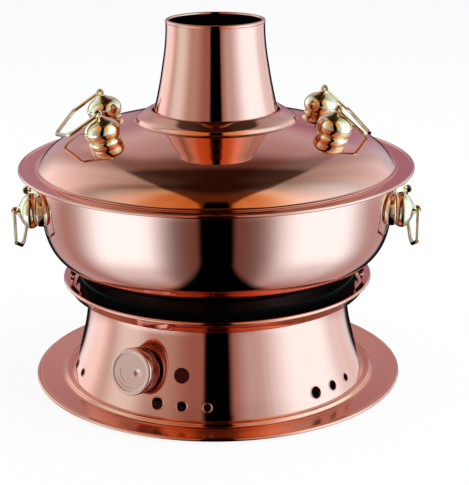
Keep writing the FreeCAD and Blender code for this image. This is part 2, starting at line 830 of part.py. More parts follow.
def make_bottom_cover():
    """Flat cover with a ring of slots, and the screws that hold it to the foot plate."""
    body = doc.addObject("PartDesign::Body", "bottom_cover")
    underside = value("size.land_top - size.gauge - size.cover_gauge")
    disc = body_sketch(body, "cover_disc", "XY_Plane")
    rim = disc.addGeometry(Part.Circle(Vector(0, 0, 0), UP, value("size.cover_radius")), False)
    disc.addConstraint(Sketcher.Constraint("Coincident", rim, 3, -1, 1))
    index = disc.addConstraint(Sketcher.Constraint("Radius", rim, value("size.cover_radius")))
    disc.setExpression("Constraints[%d]" % index, "size.cover_radius")
    pad = body.newObject("PartDesign::Pad", "cover_pad")
    pad.Profile = disc
    bind(pad, Length="size.cover_gauge")
    slot = body_sketch(body, "cover_slot", "XY_Plane")
    outline(slot, ("size.cover_slot_start", "-size.cover_slot_radius"), [
        ("line", "size.cover_slot_start + size.cover_slot_length", "-size.cover_slot_radius"),
        ("arc", "size.cover_slot_start + size.cover_slot_length", "size.cover_slot_radius"),
        ("line", "size.cover_slot_start", "size.cover_slot_radius"),
        ("arc", "size.cover_slot_start", "-size.cover_slot_radius"),
    ], closed=True)
    pocket_round(body, slot, "size.cover_gauge", int(value("size.cover_slots")), "size.cover_slots")
    doc.recompute()
    holes = []
    for number, place in enumerate(cover_screw_places()):
        place.Base.z = -value("size.cover_gauge")
        holes.append(cylinder("cover_screw_hole_%d" % number, "size.screw_radius + size.thread_gap",
                              "3 * size.cover_gauge", place))
    body.Label = "cover_blank"
    cover = cut("bottom_cover_plate", body, holes)
    cover.Placement = FreeCAD.Placement(Vector(0, 0, underside), FreeCAD.Rotation())
    node(cover, "bottom_cover")
    flip = FreeCAD.Rotation(Vector(1, 0, 0), 180)
    fixing = screw("cover_screw", "size.screw_radius", "size.cover_gauge + size.gauge + size.nut_height")
    places = []
    for place in cover_screw_places():
        places.append(FreeCAD.Placement(place.Base + UP * underside, flip))
    repeated("cover_screws", fixing, places)


def make_feet():
    """Rubber feet, and the screws and nuts that clamp the foot plate to the housing through them."""
    foot_height = "size.land_top - size.gauge"
    pocket_radius = "size.screw_head_radius + size.foot_pocket_gap"
    pocket_depth = "size.screw_head_height + size.foot_pocket_sink"
    hole = "size.screw_radius + size.thread_gap"
    foot = turned("rubber_foot", (hole, foot_height), [
        ("line", hole, pocket_depth),
        ("line", pocket_radius, pocket_depth),
        ("line", pocket_radius, "0"),
        ("line", "size.rubber_foot_radius - size.rubber_foot_draft", "0"),
        ("line", "size.rubber_foot_radius", foot_height),
    ])
    repeated("rubber_feet", foot, foot_places())
    flip = FreeCAD.Rotation(Vector(1, 0, 0), 180)
    clamped = "%s - (%s) + 2 * size.gauge" % (foot_height, pocket_depth)
    reach = clamped + " + size.nut_height + size.thread_proud"
    fixing = screw("foot_screw", "size.screw_radius", reach)
    seat = UP * value(pocket_depth)
    repeated("foot_screws", fixing, [FreeCAD.Placement(p.Base + seat, flip) for p in foot_places()])
    nut = hex_nut("foot_nut", "size.nut_flats", "size.nut_height", hole)
    top = value("size.land_top + size.gauge")
    repeated("foot_nuts", nut, [at(place, top) for place in foot_places()])


# ---------------------------------------------------------------- controls

def make_control_knob(place):
    """Turned knob: smooth bezel, fine knurl, dished face with a finger dimple, hollow back."""
    body = doc.addObject("PartDesign::Body", "knob_blank")
    core = body_sketch(body, "knob_outline", "XZ_Plane")
    bore = "size.spindle_radius + size.spindle_gap"
    bezel_inside = "size.knob_radius - size.knob_bezel_width"
    knurl_top = "size.knob_face - size.knob_bezel"
    roof = "size.knob_face - size.knob_roof"
    barrel = "size.knob_radius - size.knurl_depth / 2"
    outline(core, (bore, "size.knob_back"), [
        ("line", "size.knob_boss_radius", "size.knob_back"),
        ("line", "size.knob_boss_radius", roof),
        ("line", "size.knob_hollow_radius", roof),
        ("line", "size.knob_hollow_radius", "size.knob_back"),
        ("line", "size.knob_radius - 2 * size.knurl_depth", "size.knob_back"),
        ("line", "size.knob_radius - 2 * size.knurl_depth", "size.knob_back + size.knob_skirt"),
        ("line", barrel, "size.knob_back + size.knob_skirt"),
        ("line", barrel, knurl_top),
        ("line", "size.knob_radius", knurl_top),
        ("line", "size.knob_radius", "size.knob_face - size.knob_round"),
        ("arc", "size.knob_radius - size.knob_round", "size.knob_face", "up"),
        ("line", bezel_inside, "size.knob_face"),
        ("line", bezel_inside + " - size.knob_dish", "size.knob_face - size.knob_dish"),
        ("line", "0", "size.knob_face - size.knob_dish"),
        ("line", "0", "size.knob_back + size.spindle_engagement"),
        ("line", bore, "size.knob_back + size.spindle_engagement"),
    ], closed=True)
    doc.recompute()
    turning = body.newObject("PartDesign::Revolution", "knob_turning")
    turning.Profile = core
    turning.ReferenceAxis = (core, ["V_Axis"])
    turning.Angle = FULL_TURN
    doc.recompute()
    knurl = body_sketch(body, "knurl", "XY_Plane", value("size.knob_back + size.knob_skirt"))
    notch = "size.knob_radius * pi / size.knurl_count * size.knurl_notch_share"
    root = "size.knob_radius - size.knurl_depth / 2 - size.knurl_depth"
    outline(knurl, (root, "0"), [
        ("line", "size.knob_radius + size.knurl_depth", "-(%s)" % notch),
        ("line", "size.knob_radius + size.knurl_depth", notch),
    ], closed=True)
    length = "size.knob_face - size.knob_bezel - size.knob_back - size.knob_skirt"
    pocket_round(body, knurl, length, int(value("size.knurl_count")), "size.knurl_count")
    doc.recompute()
    ball = doc.addObject("Part::Sphere", "knob_dimple")
    dip = "(size.dimple_radius ^ 2 + size.dimple_depth ^ 2) / (2 * size.dimple_depth)"
    bind(ball, Radius=dip)
    centre = "size.knob_face - size.knob_dish - size.dimple_depth + " + dip
    ball.Placement.Base = Vector(value("size.dimple_offset"), 0, value(centre))
    knob = cut("knob", body, [ball])
    knob.Placement = place
    return node(knob, "control_knob")


def make_thermostat(place):
    """Thermostat behind the housing, its threaded bush, nut and turning spindle."""
    depth = "size.spindle_depth"
    rod = cylinder("spindle_rod", "size.spindle_radius",
                   "size.spindle_depth + size.knob_back + size.spindle_engagement - size.gauge",
                   at(place, -value(depth)))
    flat = block("spindle_flat", "2 * size.spindle_radius", "size.spindle_radius",
                 "size.spindle_engagement", at(place, value("size.knob_back + size.gauge / 2")))
    flat.Placement.Base = flat.Placement.Base + flat.Placement.Rotation.multVec(
        Vector(0, value("size.spindle_flat + size.spindle_radius / 2"), 0))
    node(cut("thermostat_spindle", rod, [flat]))
    case = block("thermostat_case", "size.thermostat_width", "size.thermostat_height",
                 "size.thermostat_depth",
                 at(place, -value("size.gauge + size.thermostat_standoff + size.thermostat_depth")))
    bush = cylinder("thermostat_bush", "size.bush_radius",
                    "size.gauge + size.thermostat_standoff + size.bush_proud",
                    at(place, -value("size.gauge + size.thermostat_standoff")))
    collar = cylinder("thermostat_collar", "size.thermostat_collar_radius",
                      "size.thermostat_standoff - size.thermostat_wall_gap",
                      at(place, -value("size.gauge + size.thermostat_standoff")))
    tabs = []
    back = "size.gauge + size.thermostat_standoff + size.thermostat_depth"
    for number, sign in enumerate((-1, 1)):
        tail = at(place, -value(back + " + size.tab_length"))
        tab = block("thermostat_tab_%d" % number, "size.tab_width", "size.tab_gauge",
                    "size.tab_length + size.tab_gauge", tail)
        tab.Placement.Base = tab.Placement.Base + tab.Placement.Rotation.multVec(
            Vector(0, sign * value("size.thermostat_height / 4"), 0))
        tabs.append(tab)
    solid = fused("thermostat_blank", [case, bush, collar] + tabs)
    bore = cylinder("thermostat_bore", "size.spindle_radius + size.spindle_gap",
                    "size.spindle_depth + size.bush_proud + 2 * %g" % PAST,
                    at(place, -value(depth) - PAST))
    node(cut("thermostat_body", solid, [bore]))
    nut = hex_nut("bush_nut", "size.bush_nut_flats", "size.bush_nut_height",
                  "size.bush_radius + size.thread_gap")
    nut.Placement = at(place, value("size.bush_nut_seat"))
    node(nut, "thermostat_nut")


def make_lamp(place):
    """Indicator lamp: a domed red lens, its body and the clip behind the wall."""
    lens = turned("lamp_lens", ("0", "-size.gauge"), [
        ("line", "size.lamp_radius", "-size.gauge"),
        ("line", "size.lamp_radius", "size.lamp_rim - size.lamp_chamfer"),
        ("line", "size.lamp_radius - size.lamp_chamfer", "size.lamp_rim"),
        ("line", "0", "size.lamp_dome"),
    ])
    lens.Placement = place
    node(lens)
    shoulder = "size.lamp_terminal_length - size.lamp_body_length"
    body = turned("lamp_body", ("0", "-size.gauge"), [
        ("line", "size.lamp_radius", "-size.gauge"),
        ("line", "size.lamp_radius", shoulder),
        ("line", "size.lamp_radius / 2", shoulder),
        ("line", "size.lamp_radius / 2", "-size.lamp_body_length"),
        ("line", "0", "-size.lamp_body_length"),
    ])
    body.Placement = place
    node(body)
    clip_top = "-2 * size.gauge"
    clip_foot = "-2 * size.gauge - size.lamp_clip_height"
    clip = turned("lamp_clip", ("size.lamp_radius + size.spindle_gap", clip_top), [
        ("line", "size.lamp_clip_radius", clip_top),
        ("line", "size.lamp_clip_radius", clip_foot),
        ("line", "size.lamp_radius + size.spindle_gap", clip_foot),
    ])
    clip.Placement = place
    node(clip)


def make_inlet(place, form):
    """Mains inlet: a socket with a flange that follows the housing, and its three pins."""
    back = at(place, -value("size.inlet_depth"))
    body = block("inlet_case", "size.inlet_width", "size.inlet_tall",
                 "size.inlet_depth + size.inlet_flange_height", back)
    plate = block("inlet_plate", "size.inlet_width + 2 * size.inlet_flange",
                  "size.inlet_tall + 2 * size.inlet_flange",
                  "2 * size.inlet_flange_height", at(place, -value("size.inlet_flange_height")))
    flange = cut("inlet_flange_fitted", plate, [form])
    socket = block("inlet_socket", "size.inlet_width - 2 * size.inlet_wall",
                   "size.inlet_tall - 2 * size.inlet_wall",
                   "size.inlet_depth + 2 * size.inlet_flange_height - size.inlet_back",
                   at(back, value("size.inlet_back")))
    slots = []
    pins = []
    for number, (across, drop) in enumerate(((-1, -1), (1, -1), (0, 1))):
        foot = at(place, -value("size.inlet_depth + size.pin_tail"))
        length = "size.pin_tail + size.inlet_back + size.pin_reach"
        spot = Vector(across * value("size.pin_spread"), drop * value("size.pin_drop"), 0)
        blade = block("inlet_pin_%d" % number, "size.pin_thickness", "size.pin_width", length, foot)
        blade.Placement.Base = blade.Placement.Base + blade.Placement.Rotation.multVec(spot)
        pins.append(blade)
        slot = block("inlet_slot_%d" % number, "size.pin_thickness", "size.pin_width", length, foot)
        slot.Placement.Base = slot.Placement.Base + slot.Placement.Rotation.multVec(spot)
        slots.append(slot)
    case = fused("inlet_blank", [body, flange])
    node(cut("power_inlet", case, [socket] + slots))
    node(bundle("inlet_pins", pins))


# ---------------------------------------------------------------- pot

CHIMNEY_INSIDE = "size.chimney_foot_radius - size.gauge - size.chimney_ledge"
BRIM_UNDER = "size.pot_rim - size.gauge"
BRIM_EDGE = "size.pot_radius + size.brim_width"
POT_START = (CHIMNEY_INSIDE, "size.pot_floor")
POT_STEPS = [
    ("line", "size.pot_floor_radius", "size.pot_floor"),
    ("arc", "size.pot_heel_radius", "size.pot_floor + size.pot_heel_rise"),
    ("blend", "size.pot_radius - size.pot_side_lean", "size.pot_floor + size.pot_side_rise"),
    ("line", "size.pot_radius", BRIM_UNDER),
    ("line", BRIM_EDGE + " - size.bead_radius", BRIM_UNDER),
]


def make_pot_bowl(sketch, form, places):
    """Round bowl with a wide flat brim and a rolled edge, pierced for the handle rivets."""
    sheet = shell("pot_bowl_sheet", sketch, "size.gauge")
    bead = torus("pot_bowl_bead", BRIM_EDGE + " - size.bead_radius", "size.bead_radius",
                 BRIM_UNDER + " + size.gauge / 2")
    holes = rivet_holes("pot", places)
    bowl = node(cut("pot_bowl", fused("pot_bowl_blank", [sheet, bead]), holes))
    cavity = cut("pot_cavity", form, [spun("pot_cavity_skin", sheet.Source)])
    return bowl, cavity


def make_chimney():
    """Tube that stands on the pot's floor, narrows upwards and ends in a rolled edge."""
    top = "size.chimney_top - size.chimney_bead_radius"
    sketch = profile("chimney_profile", ("size.chimney_radius", top), [
        ("line", "size.chimney_radius", "size.chimney_top - size.chimney_straight"),
        ("arc", "size.chimney_waist_radius", "size.chimney_waist"),
        ("line", "size.chimney_foot_radius", "size.pot_floor + size.gauge + size.chimney_foot"),
        ("line", "size.chimney_foot_radius", "size.pot_floor + size.gauge"),
    ])
    sheet = shell("chimney_sheet", sketch, "-size.gauge")
    bead = torus("chimney_bead", "size.chimney_radius - size.chimney_bead_radius",
                 "size.chimney_bead_radius", top)
    return node(fused("chimney_tube", [sheet, bead]))


def make_base_disc():
    """Thick ring bonded under the pot, flat on the heating plate."""
    disc = turned("pot_base_disc", (CHIMNEY_INSIDE, "size.plate_top"), [
        ("line", "size.base_disc_radius - size.base_disc_chamfer", "size.plate_top"),
        ("line", "size.base_disc_radius", "size.plate_top + size.base_disc_chamfer"),
        ("line", "size.base_disc_radius", "size.pot_floor"),
        ("line", CHIMNEY_INSIDE, "size.pot_floor"),
    ])
    return node(disc)


# ---------------------------------------------------------------- lid

LID_FLANGE_TOP = "size.pot_rim + size.lid_flange_gauge"
LID_FLANGE_EDGE = "size.pot_radius + size.lid_flange_width"
DOME_START = ("size.lid_hole_radius", "size.lid_hole_height")
DOME_STEPS = [
    ("cap", "size.lid_shoulder_radius", "size.lid_shoulder"),
    ("arc", "size.pot_radius", LID_FLANGE_TOP),
]


def make_lid_dome(sketch, form, places):
    """Domed shell on a narrow flange that rests on the pot's brim."""
    sheet = shell("lid_dome_sheet", sketch, "size.gauge")
    flange = turned("lid_flange", ("size.pot_radius - 2 * size.gauge", "size.pot_rim"), [
        ("line", LID_FLANGE_EDGE, "size.pot_rim"),
        ("line", LID_FLANGE_EDGE, LID_FLANGE_TOP),
        ("line", "size.pot_radius - size.gauge", LID_FLANGE_TOP),
    ])
    floor = cylinder("lid_trim", LID_FLANGE_EDGE, "4 * size.gauge",
                     FreeCAD.Placement(Vector(0, 0, value("size.pot_rim - 4 * size.gauge")),
                                       FreeCAD.Rotation()))
    holes = rivet_holes("lid", places)
    dome = node(cut("lid_dome", fused("lid_dome_blank", [sheet, flange]), holes + [floor]))
    cavity = cut("lid_cavity", form, [spun("lid_cavity_skin", sheet.Source)])
    return dome, cavity


def make_lid_collar(sketch, form):
    """Raised ring round the hole that slips over the chimney, fitted to the dome."""
    seat = height_on(sketch, value("size.collar_radius"))
    edge = "size.collar_radius - size.collar_inset"
    neck = "size.collar_neck_radius"
    outline_sketch = profile("lid_collar_profile", ("size.collar_radius", str(seat)), [
        ("line", edge, "%s + size.collar_edge" % seat),
        ("line", neck + " + size.collar_top_width", "size.collar_top"),
        ("arc", neck, "size.collar_top - size.collar_top_width"),
        ("line", neck, "size.collar_top - size.collar_neck_length"),
    ])
    raw = shell("lid_collar_blank", outline_sketch, "size.gauge")
    return node(cut("lid_collar", raw, [form]))


def make_locating_ring(cavity):
    """Ring inside the lid that centres it in the pot's mouth."""
    outside = "size.pot_radius - size.gauge - size.locating_ring_gap"
    foot = "size.pot_rim - size.locating_ring_drop"
    crown = "size.lid_shoulder"
    raw = turned("locating_ring_blank", (outside + " - size.gauge", foot), [
        ("line", outside, foot),
        ("line", outside, crown),
        ("line", outside + " - size.gauge", crown),
    ])
    room = cylinder("locating_ring_room", "size.pot_radius - size.gauge",
                    "size.locating_ring_drop + size.lid_flange_gauge",
                    FreeCAD.Placement(Vector(0, 0, value(foot)), FreeCAD.Rotation()))
    return node(shared("lid_locating_ring", raw, fused("locating_ring_space", [cavity, room])))


# ---------------------------------------------------------------- handles

def pair_axes(turn):
    """Outward and sideways directions of a pair of posts, turned about Z from +X."""
    angle = math.radians(turn)
    out = Vector(math.cos(angle), math.sin(angle), 0)
    side = Vector(-math.sin(angle), math.cos(angle), 0)
    return out, side


def lid_pivot_height(sketch):
    """Height of the lid's hinge axes over the dome that carries the posts."""
    tilt = math.radians(value("size.lid_post_tilt"))
    length = value("size.post_length")
    reach = value("size.lid_pivot_radius") - length * math.sin(tilt)
    radius = math.hypot(reach, value("size.lid_post_spacing") / 2)
    return height_on(sketch, radius) + length * math.cos(tilt)


def lid_posts(sketch):
    """Placements of the lid's four posts, seat at the origin, axis along Z, eye along X."""
    tilt = math.radians(value("size.lid_post_tilt"))
    length = value("size.post_length")
    places = {}
    for side_name, turn in SIDES:
        out, side = pair_axes(turn + value("size.lid_handle_turn"))
        axis = out * math.sin(tilt) + UP * math.cos(tilt)
        for end_name, sign in ENDS:
            sign = sign if side.y > 0 else -sign
            eye = out * value("size.lid_pivot_radius") + UP * lid_pivot_height(sketch)
            eye = eye + side * (sign * value("size.lid_post_spacing") / 2)
            turned_axes = FreeCAD.Rotation(side, axis.cross(side), axis, "ZXY")
            places["%s_%s" % (side_name, end_name)] = FreeCAD.Placement(eye - axis * length, turned_axes)
    return places


def pot_posts(sketch):
    """Placements of the pot's four posts, level and square to the hinge axes."""
    height = value("size.pot_pivot_height")
    half = value("size.pot_post_spacing") / 2
    wall = math.sqrt(radius_on(sketch, height) ** 2 - half ** 2)
    places = {}
    for side_name, turn in SIDES:
        out, side = pair_axes(turn)
        for end_name, sign in ENDS:
            sign = sign if side.y > 0 else -sign
            seat = out * wall + side * (sign * half) + UP * height
            turned_axes = FreeCAD.Rotation(side, out.cross(side), out, "ZXY")
            places["%s_%s" % (side_name, end_name)] = FreeCAD.Placement(seat, turned_axes)
    return places


def rivet_holes(owner, places):
    holes = []
    for name, place in places.items():
        holes.append(cylinder("%s_rivet_hole_%s" % (owner, name), "size.rivet_radius + size.thread_gap",
                              "size.post_length", at(place, -value("size.post_length / 2"))))
    return holes


def post_pattern(label):
    """Onion-shaped post with a flattened eye at its tip."""
    base = "size.post_base_height"
    bulb = turned(label + "_bulb", ("0", base), [
        ("line", "size.post_neck_radius", base),
        ("bow", "size.bulb_radius", base + " + size.bulb_widest", "up"),
        ("arc", "size.bulb_shoulder_radius", base + " + size.bulb_shoulder"),
        ("line", "size.post_waist_radius", base + " + size.post_waist"),
        ("arc", "size.post_tip_radius", "size.post_length - size.post_tip_drop"),
        ("line", "0", "size.post_length - size.post_tip_drop"),
    ])
    sideways = FreeCAD.Rotation(Vector(0, 1, 0), 90)
    pivot = UP * value("size.post_length")
    lug_start = FreeCAD.Placement(pivot - Vector(value("size.eye_half_width"), 0, 0), sideways)
    eye = cylinder(label + "_eye", "size.eye_radius", "2 * size.eye_half_width", lug_start)
    hole_start = FreeCAD.Placement(pivot - Vector(value("size.bulb_radius"), 0, 0), sideways)
    hole = cylinder(label + "_eye_hole", "size.wire_radius + size.hinge_gap",
                    "2 * size.bulb_radius", hole_start)
    return cut(label, fused(label + "_blank", [bulb, eye]), [hole])


def make_posts(owner, pattern, places, form, cavity):
    """One node for each post, and one each for their base rings and rivets."""
    doc.recompute()
    for name, place in places.items():
        post = doc.addObject("Part::Feature", "%s_post_%s" % (owner, name))
        post.Shape = pattern.Shape.copy()
        post.Placement = place
        node(post)
    edge = "size.post_base_radius - size.post_base_edge"
    rings = []
    rivets = []
    for name, place in places.items():
        ring = turned("%s_base_ring_%s" % (owner, name), ("0", "-size.post_base_sink"), [
            ("line", "size.post_base_radius", "-size.post_base_sink"),
            ("line", "size.post_base_radius", "size.post_base_height / 2 - size.post_base_groove"),
            ("line", "size.post_base_radius - size.post_base_groove", "size.post_base_height / 2"),
            ("line", "size.post_base_radius", "size.post_base_height / 2 + size.post_base_groove"),
            ("line", "size.post_base_radius", "size.post_base_height - size.post_base_edge"),
            ("arc", edge, "size.post_base_height", "up"),
            ("line", "0", "size.post_base_height"),
        ])
        ring.Placement = place
        bore = cylinder("%s_base_bore_%s" % (owner, name), "size.rivet_radius",
                        "size.post_length / 2 + size.rivet_reach", at(place, -value("size.post_length / 2")))
        rings.append(cut("%s_base_fitted_%s" % (owner, name), ring, [form, bore]))
        shank = cylinder("%s_rivet_shank_%s" % (owner, name), "size.rivet_radius",
                         "size.rivet_reach + size.rivet_head_height + size.gauge",
                         at(place, -value("size.rivet_head_height + size.gauge")))
        head = cylinder("%s_rivet_head_%s" % (owner, name), "size.rivet_head_radius",
                        "2 * size.rivet_head_height",
                        at(place, -value("size.rivet_head_height + size.gauge")))
        inside = shared("%s_rivet_head_fitted_%s" % (owner, name), head, cavity)
        rivets.append(fused("%s_rivet_%s" % (owner, name), [shank, inside]))
    node(bundle("%s_post_bases" % owner, rings))
    node(bundle("%s_post_rivets" % owner, rivets))


def bent_path(points, bends):
    """Straight runs joined by tangent arcs; a bend radius goes with each inner point."""
    edges = []
    here = points[0]
    for before, corner, after, radius in zip(points, points[1:], points[2:], bends):
        inward = (before - corner).normalize()
        outward = (after - corner).normalize()
        half = inward.getAngle(outward) / 2
        trim = radius / math.tan(half)
        start = corner + inward * trim
        end = corner + outward * trim
        middle_aim = (inward + outward).normalize()
        middle = corner + middle_aim * (radius / math.sin(half) - radius)
        edges.append(Part.LineSegment(here, start).toShape())
        edges.append(Part.Arc(start, middle, end).toShape())
        here = end
    edges.append(Part.LineSegment(here, points[-1]).toShape())
    return Part.Wire(edges)


def make_bail(label, spacing, arm, length, place):
    """Wire bail whose ends turn inwards through the eyes; its hinge axis is the local X."""
    tip = value(spacing) / 2 - value("size.eye_half_width + size.wire_end")
    half = value(spacing) / 2 + value("size.eye_half_width + size.wire_side_gap + size.wire_bend")
    end = value("size.bail_end_half")
    right = [Vector(end, value(length), 0), Vector(half, value(arm), 0), Vector(half, 0, 0),
             Vector(tip, 0, 0)]
    left = [Vector(-p.x, p.y, 0) for p in reversed(right)]
    bend, kink = value("size.wire_bend"), value("size.kink_bend")
    path = bent_path(left + right, [bend, kink, kink, kink, kink, bend])
    section = Part.Wire(Part.Circle(left[0], Vector(1, 0, 0), value("size.wire_radius")).toShape())
    bail = doc.addObject("Part::Feature", label)
    bail.Shape = path.makePipeShell([section], True, True)
    bail.Placement = place
    return node(bail)


def make_bails(lid_sketch, pot_places):
    """Two bails on the lid, folded outwards, and two on the pot, hanging down."""
    for side_name, turn in SIDES:
        out, side = pair_axes(turn + value("size.lid_handle_turn"))
        pivot = out * value("size.lid_pivot_radius") + UP * lid_pivot_height(lid_sketch)
        drop = math.radians(value("size.lid_bail_drop_" + side_name))
        aim = out * math.cos(drop) - UP * math.sin(drop)
        axes = FreeCAD.Rotation(side, aim, side.cross(aim), "ZXY")
        make_bail("lid_bail_" + side_name, "size.lid_post_spacing", "size.lid_bail_arm",
                  "size.lid_bail_length", FreeCAD.Placement(pivot, axes))
        out, side = pair_axes(turn)
        seat = pot_places[side_name + "_front"]
        reach = seat.Base.dot(out) + value("size.post_length")
        pivot = out * reach + UP * seat.Base.z
        aim = UP * -1
        axes = FreeCAD.Rotation(side, aim, side.cross(aim), "ZXY")
        make_bail("pot_bail_" + side_name, "size.pot_post_spacing", "size.pot_bail_arm",
                  "size.pot_bail_length", FreeCAD.Placement(pivot, axes))


# ---------------------------------------------------------------- assembly

def build():
    housing = profile("base_housing_profile", HOUSING_START, HOUSING_STEPS + [HOUSING_FLANGE])
    bowl = profile("pot_bowl_profile", POT_START, POT_STEPS)
    dome = profile("lid_dome_profile", DOME_START, DOME_STEPS)
    doc.recompute()

    make_foot_plate()
    make_housing(housing)
    make_dish()
    make_heating_plate()
    make_heating_element()
    make_heat_shield()
    make_plate_hardware()
    make_dish_hardware()
    make_bottom_cover()
    make_feet()

    make_control_knob(knob_place(housing))
    make_thermostat(knob_place(housing))
    make_lamp(lamp_place(housing))
    housing_form = turned("housing_form", ("0", "size.housing_top"),
                          HOUSING_STEPS + [("line", "0", "size.land_top")])
    make_inlet(inlet_place(housing), housing_form)

    pot_form = turned("pot_form", ("0", "size.pot_floor"), POT_STEPS[:-1] + [
        ("line", "size.pot_radius", "size.pot_rim"),
        ("line", "0", "size.pot_rim"),
    ])
    pot_places = pot_posts(bowl)
    pot_bowl, pot_cavity = make_pot_bowl(bowl, pot_form, pot_places)
    make_chimney()
    make_base_disc()

    lid_form = turned("lid_form", ("0", "size.lid_hole_height"), [
        ("line",) + DOME_START] + DOME_STEPS + [
        ("line", "0", LID_FLANGE_TOP)])
    lid_places = lid_posts(dome)
    lid_dome, lid_cavity = make_lid_dome(dome, lid_form, lid_places)
    make_lid_collar(dome, lid_form)
    make_locating_ring(lid_cavity)

    pattern = post_pattern("handle_post")
    make_posts("pot", pattern, pot_places, pot_form, pot_cavity)
    make_posts("lid", pattern, lid_places, lid_form, lid_cavity)
    make_bails(dome, pot_places)


def check_and_write():
    """Stops on any failed object, then writes one STEP file for each sub-part."""
    doc.recompute()
    for item in doc.Objects:
        if {"Invalid", "Error"} & set(item.State):
            raise RuntimeError("%s failed: %s" % (item.Label, item.State))
    for part in NODES:
        if part.Shape.isNull() or not part.Shape.isValid() or not part.Shape.Solids:
            raise RuntimeError("%s has no valid solid" % part.Label)
    os.makedirs("parts", exist_ok=True)
    for part in NODES:
        part.Shape.exportStep("parts/%s.step" % part.Label)
        print("%-24s %2d solids %10.0f mm3" % (part.Label, len(part.Shape.Solids), part.Shape.Volume))


build()
check_and_write()
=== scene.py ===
import json
import math

import bmesh
import bpy
from mathutils import Matrix, Vector


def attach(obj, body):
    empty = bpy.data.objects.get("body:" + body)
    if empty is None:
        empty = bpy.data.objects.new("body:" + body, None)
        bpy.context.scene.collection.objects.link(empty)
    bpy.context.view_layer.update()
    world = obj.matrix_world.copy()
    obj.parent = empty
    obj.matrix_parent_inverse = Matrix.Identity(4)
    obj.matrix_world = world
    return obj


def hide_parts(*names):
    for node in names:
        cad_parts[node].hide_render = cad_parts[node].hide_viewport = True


# Looks of the chimney hot pot. Metres, +Z up, the front faces -Y. An azimuth is counted from the
# front, -Y, towards +X, as in the part's source.

MM = 0.001

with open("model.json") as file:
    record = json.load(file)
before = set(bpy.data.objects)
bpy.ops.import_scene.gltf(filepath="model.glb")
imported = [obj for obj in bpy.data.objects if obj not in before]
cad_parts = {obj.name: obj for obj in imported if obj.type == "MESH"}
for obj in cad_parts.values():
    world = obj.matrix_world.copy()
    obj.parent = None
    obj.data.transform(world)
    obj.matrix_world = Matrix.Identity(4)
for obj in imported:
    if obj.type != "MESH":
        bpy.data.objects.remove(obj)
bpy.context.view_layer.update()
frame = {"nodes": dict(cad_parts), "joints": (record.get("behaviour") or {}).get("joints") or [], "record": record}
JOINTS = {joint["name"]: joint for joint in frame["joints"]}

# ---------------------------------------------------------------- camera

CAMERA_PLACE = (0.01765, -1.2311, 0.5087)
CAMERA_PITCH = 17.388          # degrees below the horizon
CAMERA_ROLL = 0.248            # degrees
CAMERA_LENS = 103.8            # on a 36 mm sensor


def make_camera():
    """Camera before the front, a little above the part."""
    data = bpy.data.cameras.new("camera")
    data.lens = CAMERA_LENS
    camera = bpy.data.objects.new("camera", data)
    camera.location = CAMERA_PLACE
    camera.rotation_euler = (math.radians(90 - CAMERA_PITCH), math.radians(CAMERA_ROLL), 0)
    bpy.context.scene.collection.objects.link(camera)
    bpy.context.scene.camera = camera


# ---------------------------------------------------------------- node tools

class Tree:
    """A node tree and short ways to add to it. Values are sockets or plain numbers."""

    def __init__(self, owner):
        owner.use_nodes = True
        self.nodes = owner.node_tree.nodes
        self.links = owner.node_tree.links
        self.nodes.clear()

    def add(self, kind, **settings):
        made = self.nodes.new(kind)
        for name, setting in settings.items():
            setattr(made, name, setting)
        return made

    def feed(self, socket, source):
        if isinstance(source, bpy.types.NodeSocket):
            self.links.new(source, socket)
        else:
            socket.default_value = source

    def math(self, operation, *values):
        made = self.add("ShaderNodeMath", operation=operation)
        for socket, source in zip(made.inputs, values):
            self.feed(socket, source)
        return made.outputs[0]

    def remap(self, source, start, end, low, high, **settings):
        """Goes from low to high as the source goes from start to end."""
        made = self.add("ShaderNodeMapRange", **settings)
        for name, number in (("Value", source), ("From Min", start), ("From Max", end),
                             ("To Min", low), ("To Max", high)):
            self.feed(made.inputs[name], number)
        return made.outputs["Result"]

    def ease(self, source, start, end, low=0.0, high=1.0):
        """Smooth step from low to high, held at both ends."""
        return self.remap(source, start, end, low, high, interpolation_type="SMOOTHSTEP")

    def scale(self, source, start, end, low, high):
        """Straight line from low to high, held at both ends."""
        return self.remap(source, start, end, low, high, clamp=True)

    def blend(self, factor, first, second):
        """Colour between two others: the first where the factor is 0."""
        made = self.add("ShaderNodeMix", data_type="RGBA")
        self.feed(made.inputs["Factor"], factor)
        self.feed(made.inputs[6], first)
        self.feed(made.inputs[7], second)
        return made.outputs[2]

    def place(self):
        """Position in the object's own frame, which is the frame of the whole part."""
        return self.add("ShaderNodeTexCoord").outputs["Object"]

    def noise(self, scale, detail=3.0, vector=None):
        """Noise at the object's own position, or at another vector."""
        made = self.add("ShaderNodeTexNoise")
        self.feed(made.inputs["Vector"], vector if vector is not None else self.place())
        made.inputs["Scale"].default_value = scale
        made.inputs["Detail"].default_value = detail
        return made.outputs["Fac"]

    def turned(self):
        """Position as radius, angle and height about the part's axis."""
        parts = self.add("ShaderNodeSeparateXYZ")
        self.feed(parts.inputs[0], self.place())
        x, y, z = parts.outputs
        radius = self.math("SQRT", self.math("ADD", self.math("MULTIPLY", x, x),
                                             self.math("MULTIPLY", y, y)))
        made = self.add("ShaderNodeCombineXYZ")
        self.feed(made.inputs[0], radius)
        self.feed(made.inputs[1], self.math("ARCTAN2", x, y))
        self.feed(made.inputs[2], z)
        return made.outputs[0]


def surface(name, **constants):
    """A material with one Principled shader; constants go on the shader's own sockets."""
    material = bpy.data.materials.new(name)
    tree = Tree(material)
    shader = tree.add("ShaderNodeBsdfPrincipled")
    for socket, number in constants.items():
        shader.inputs[socket.replace("_", " ")].default_value = number
    output = tree.add("ShaderNodeOutputMaterial")
    tree.links.new(shader.outputs[0], output.inputs["Surface"])
    return material, tree, shader


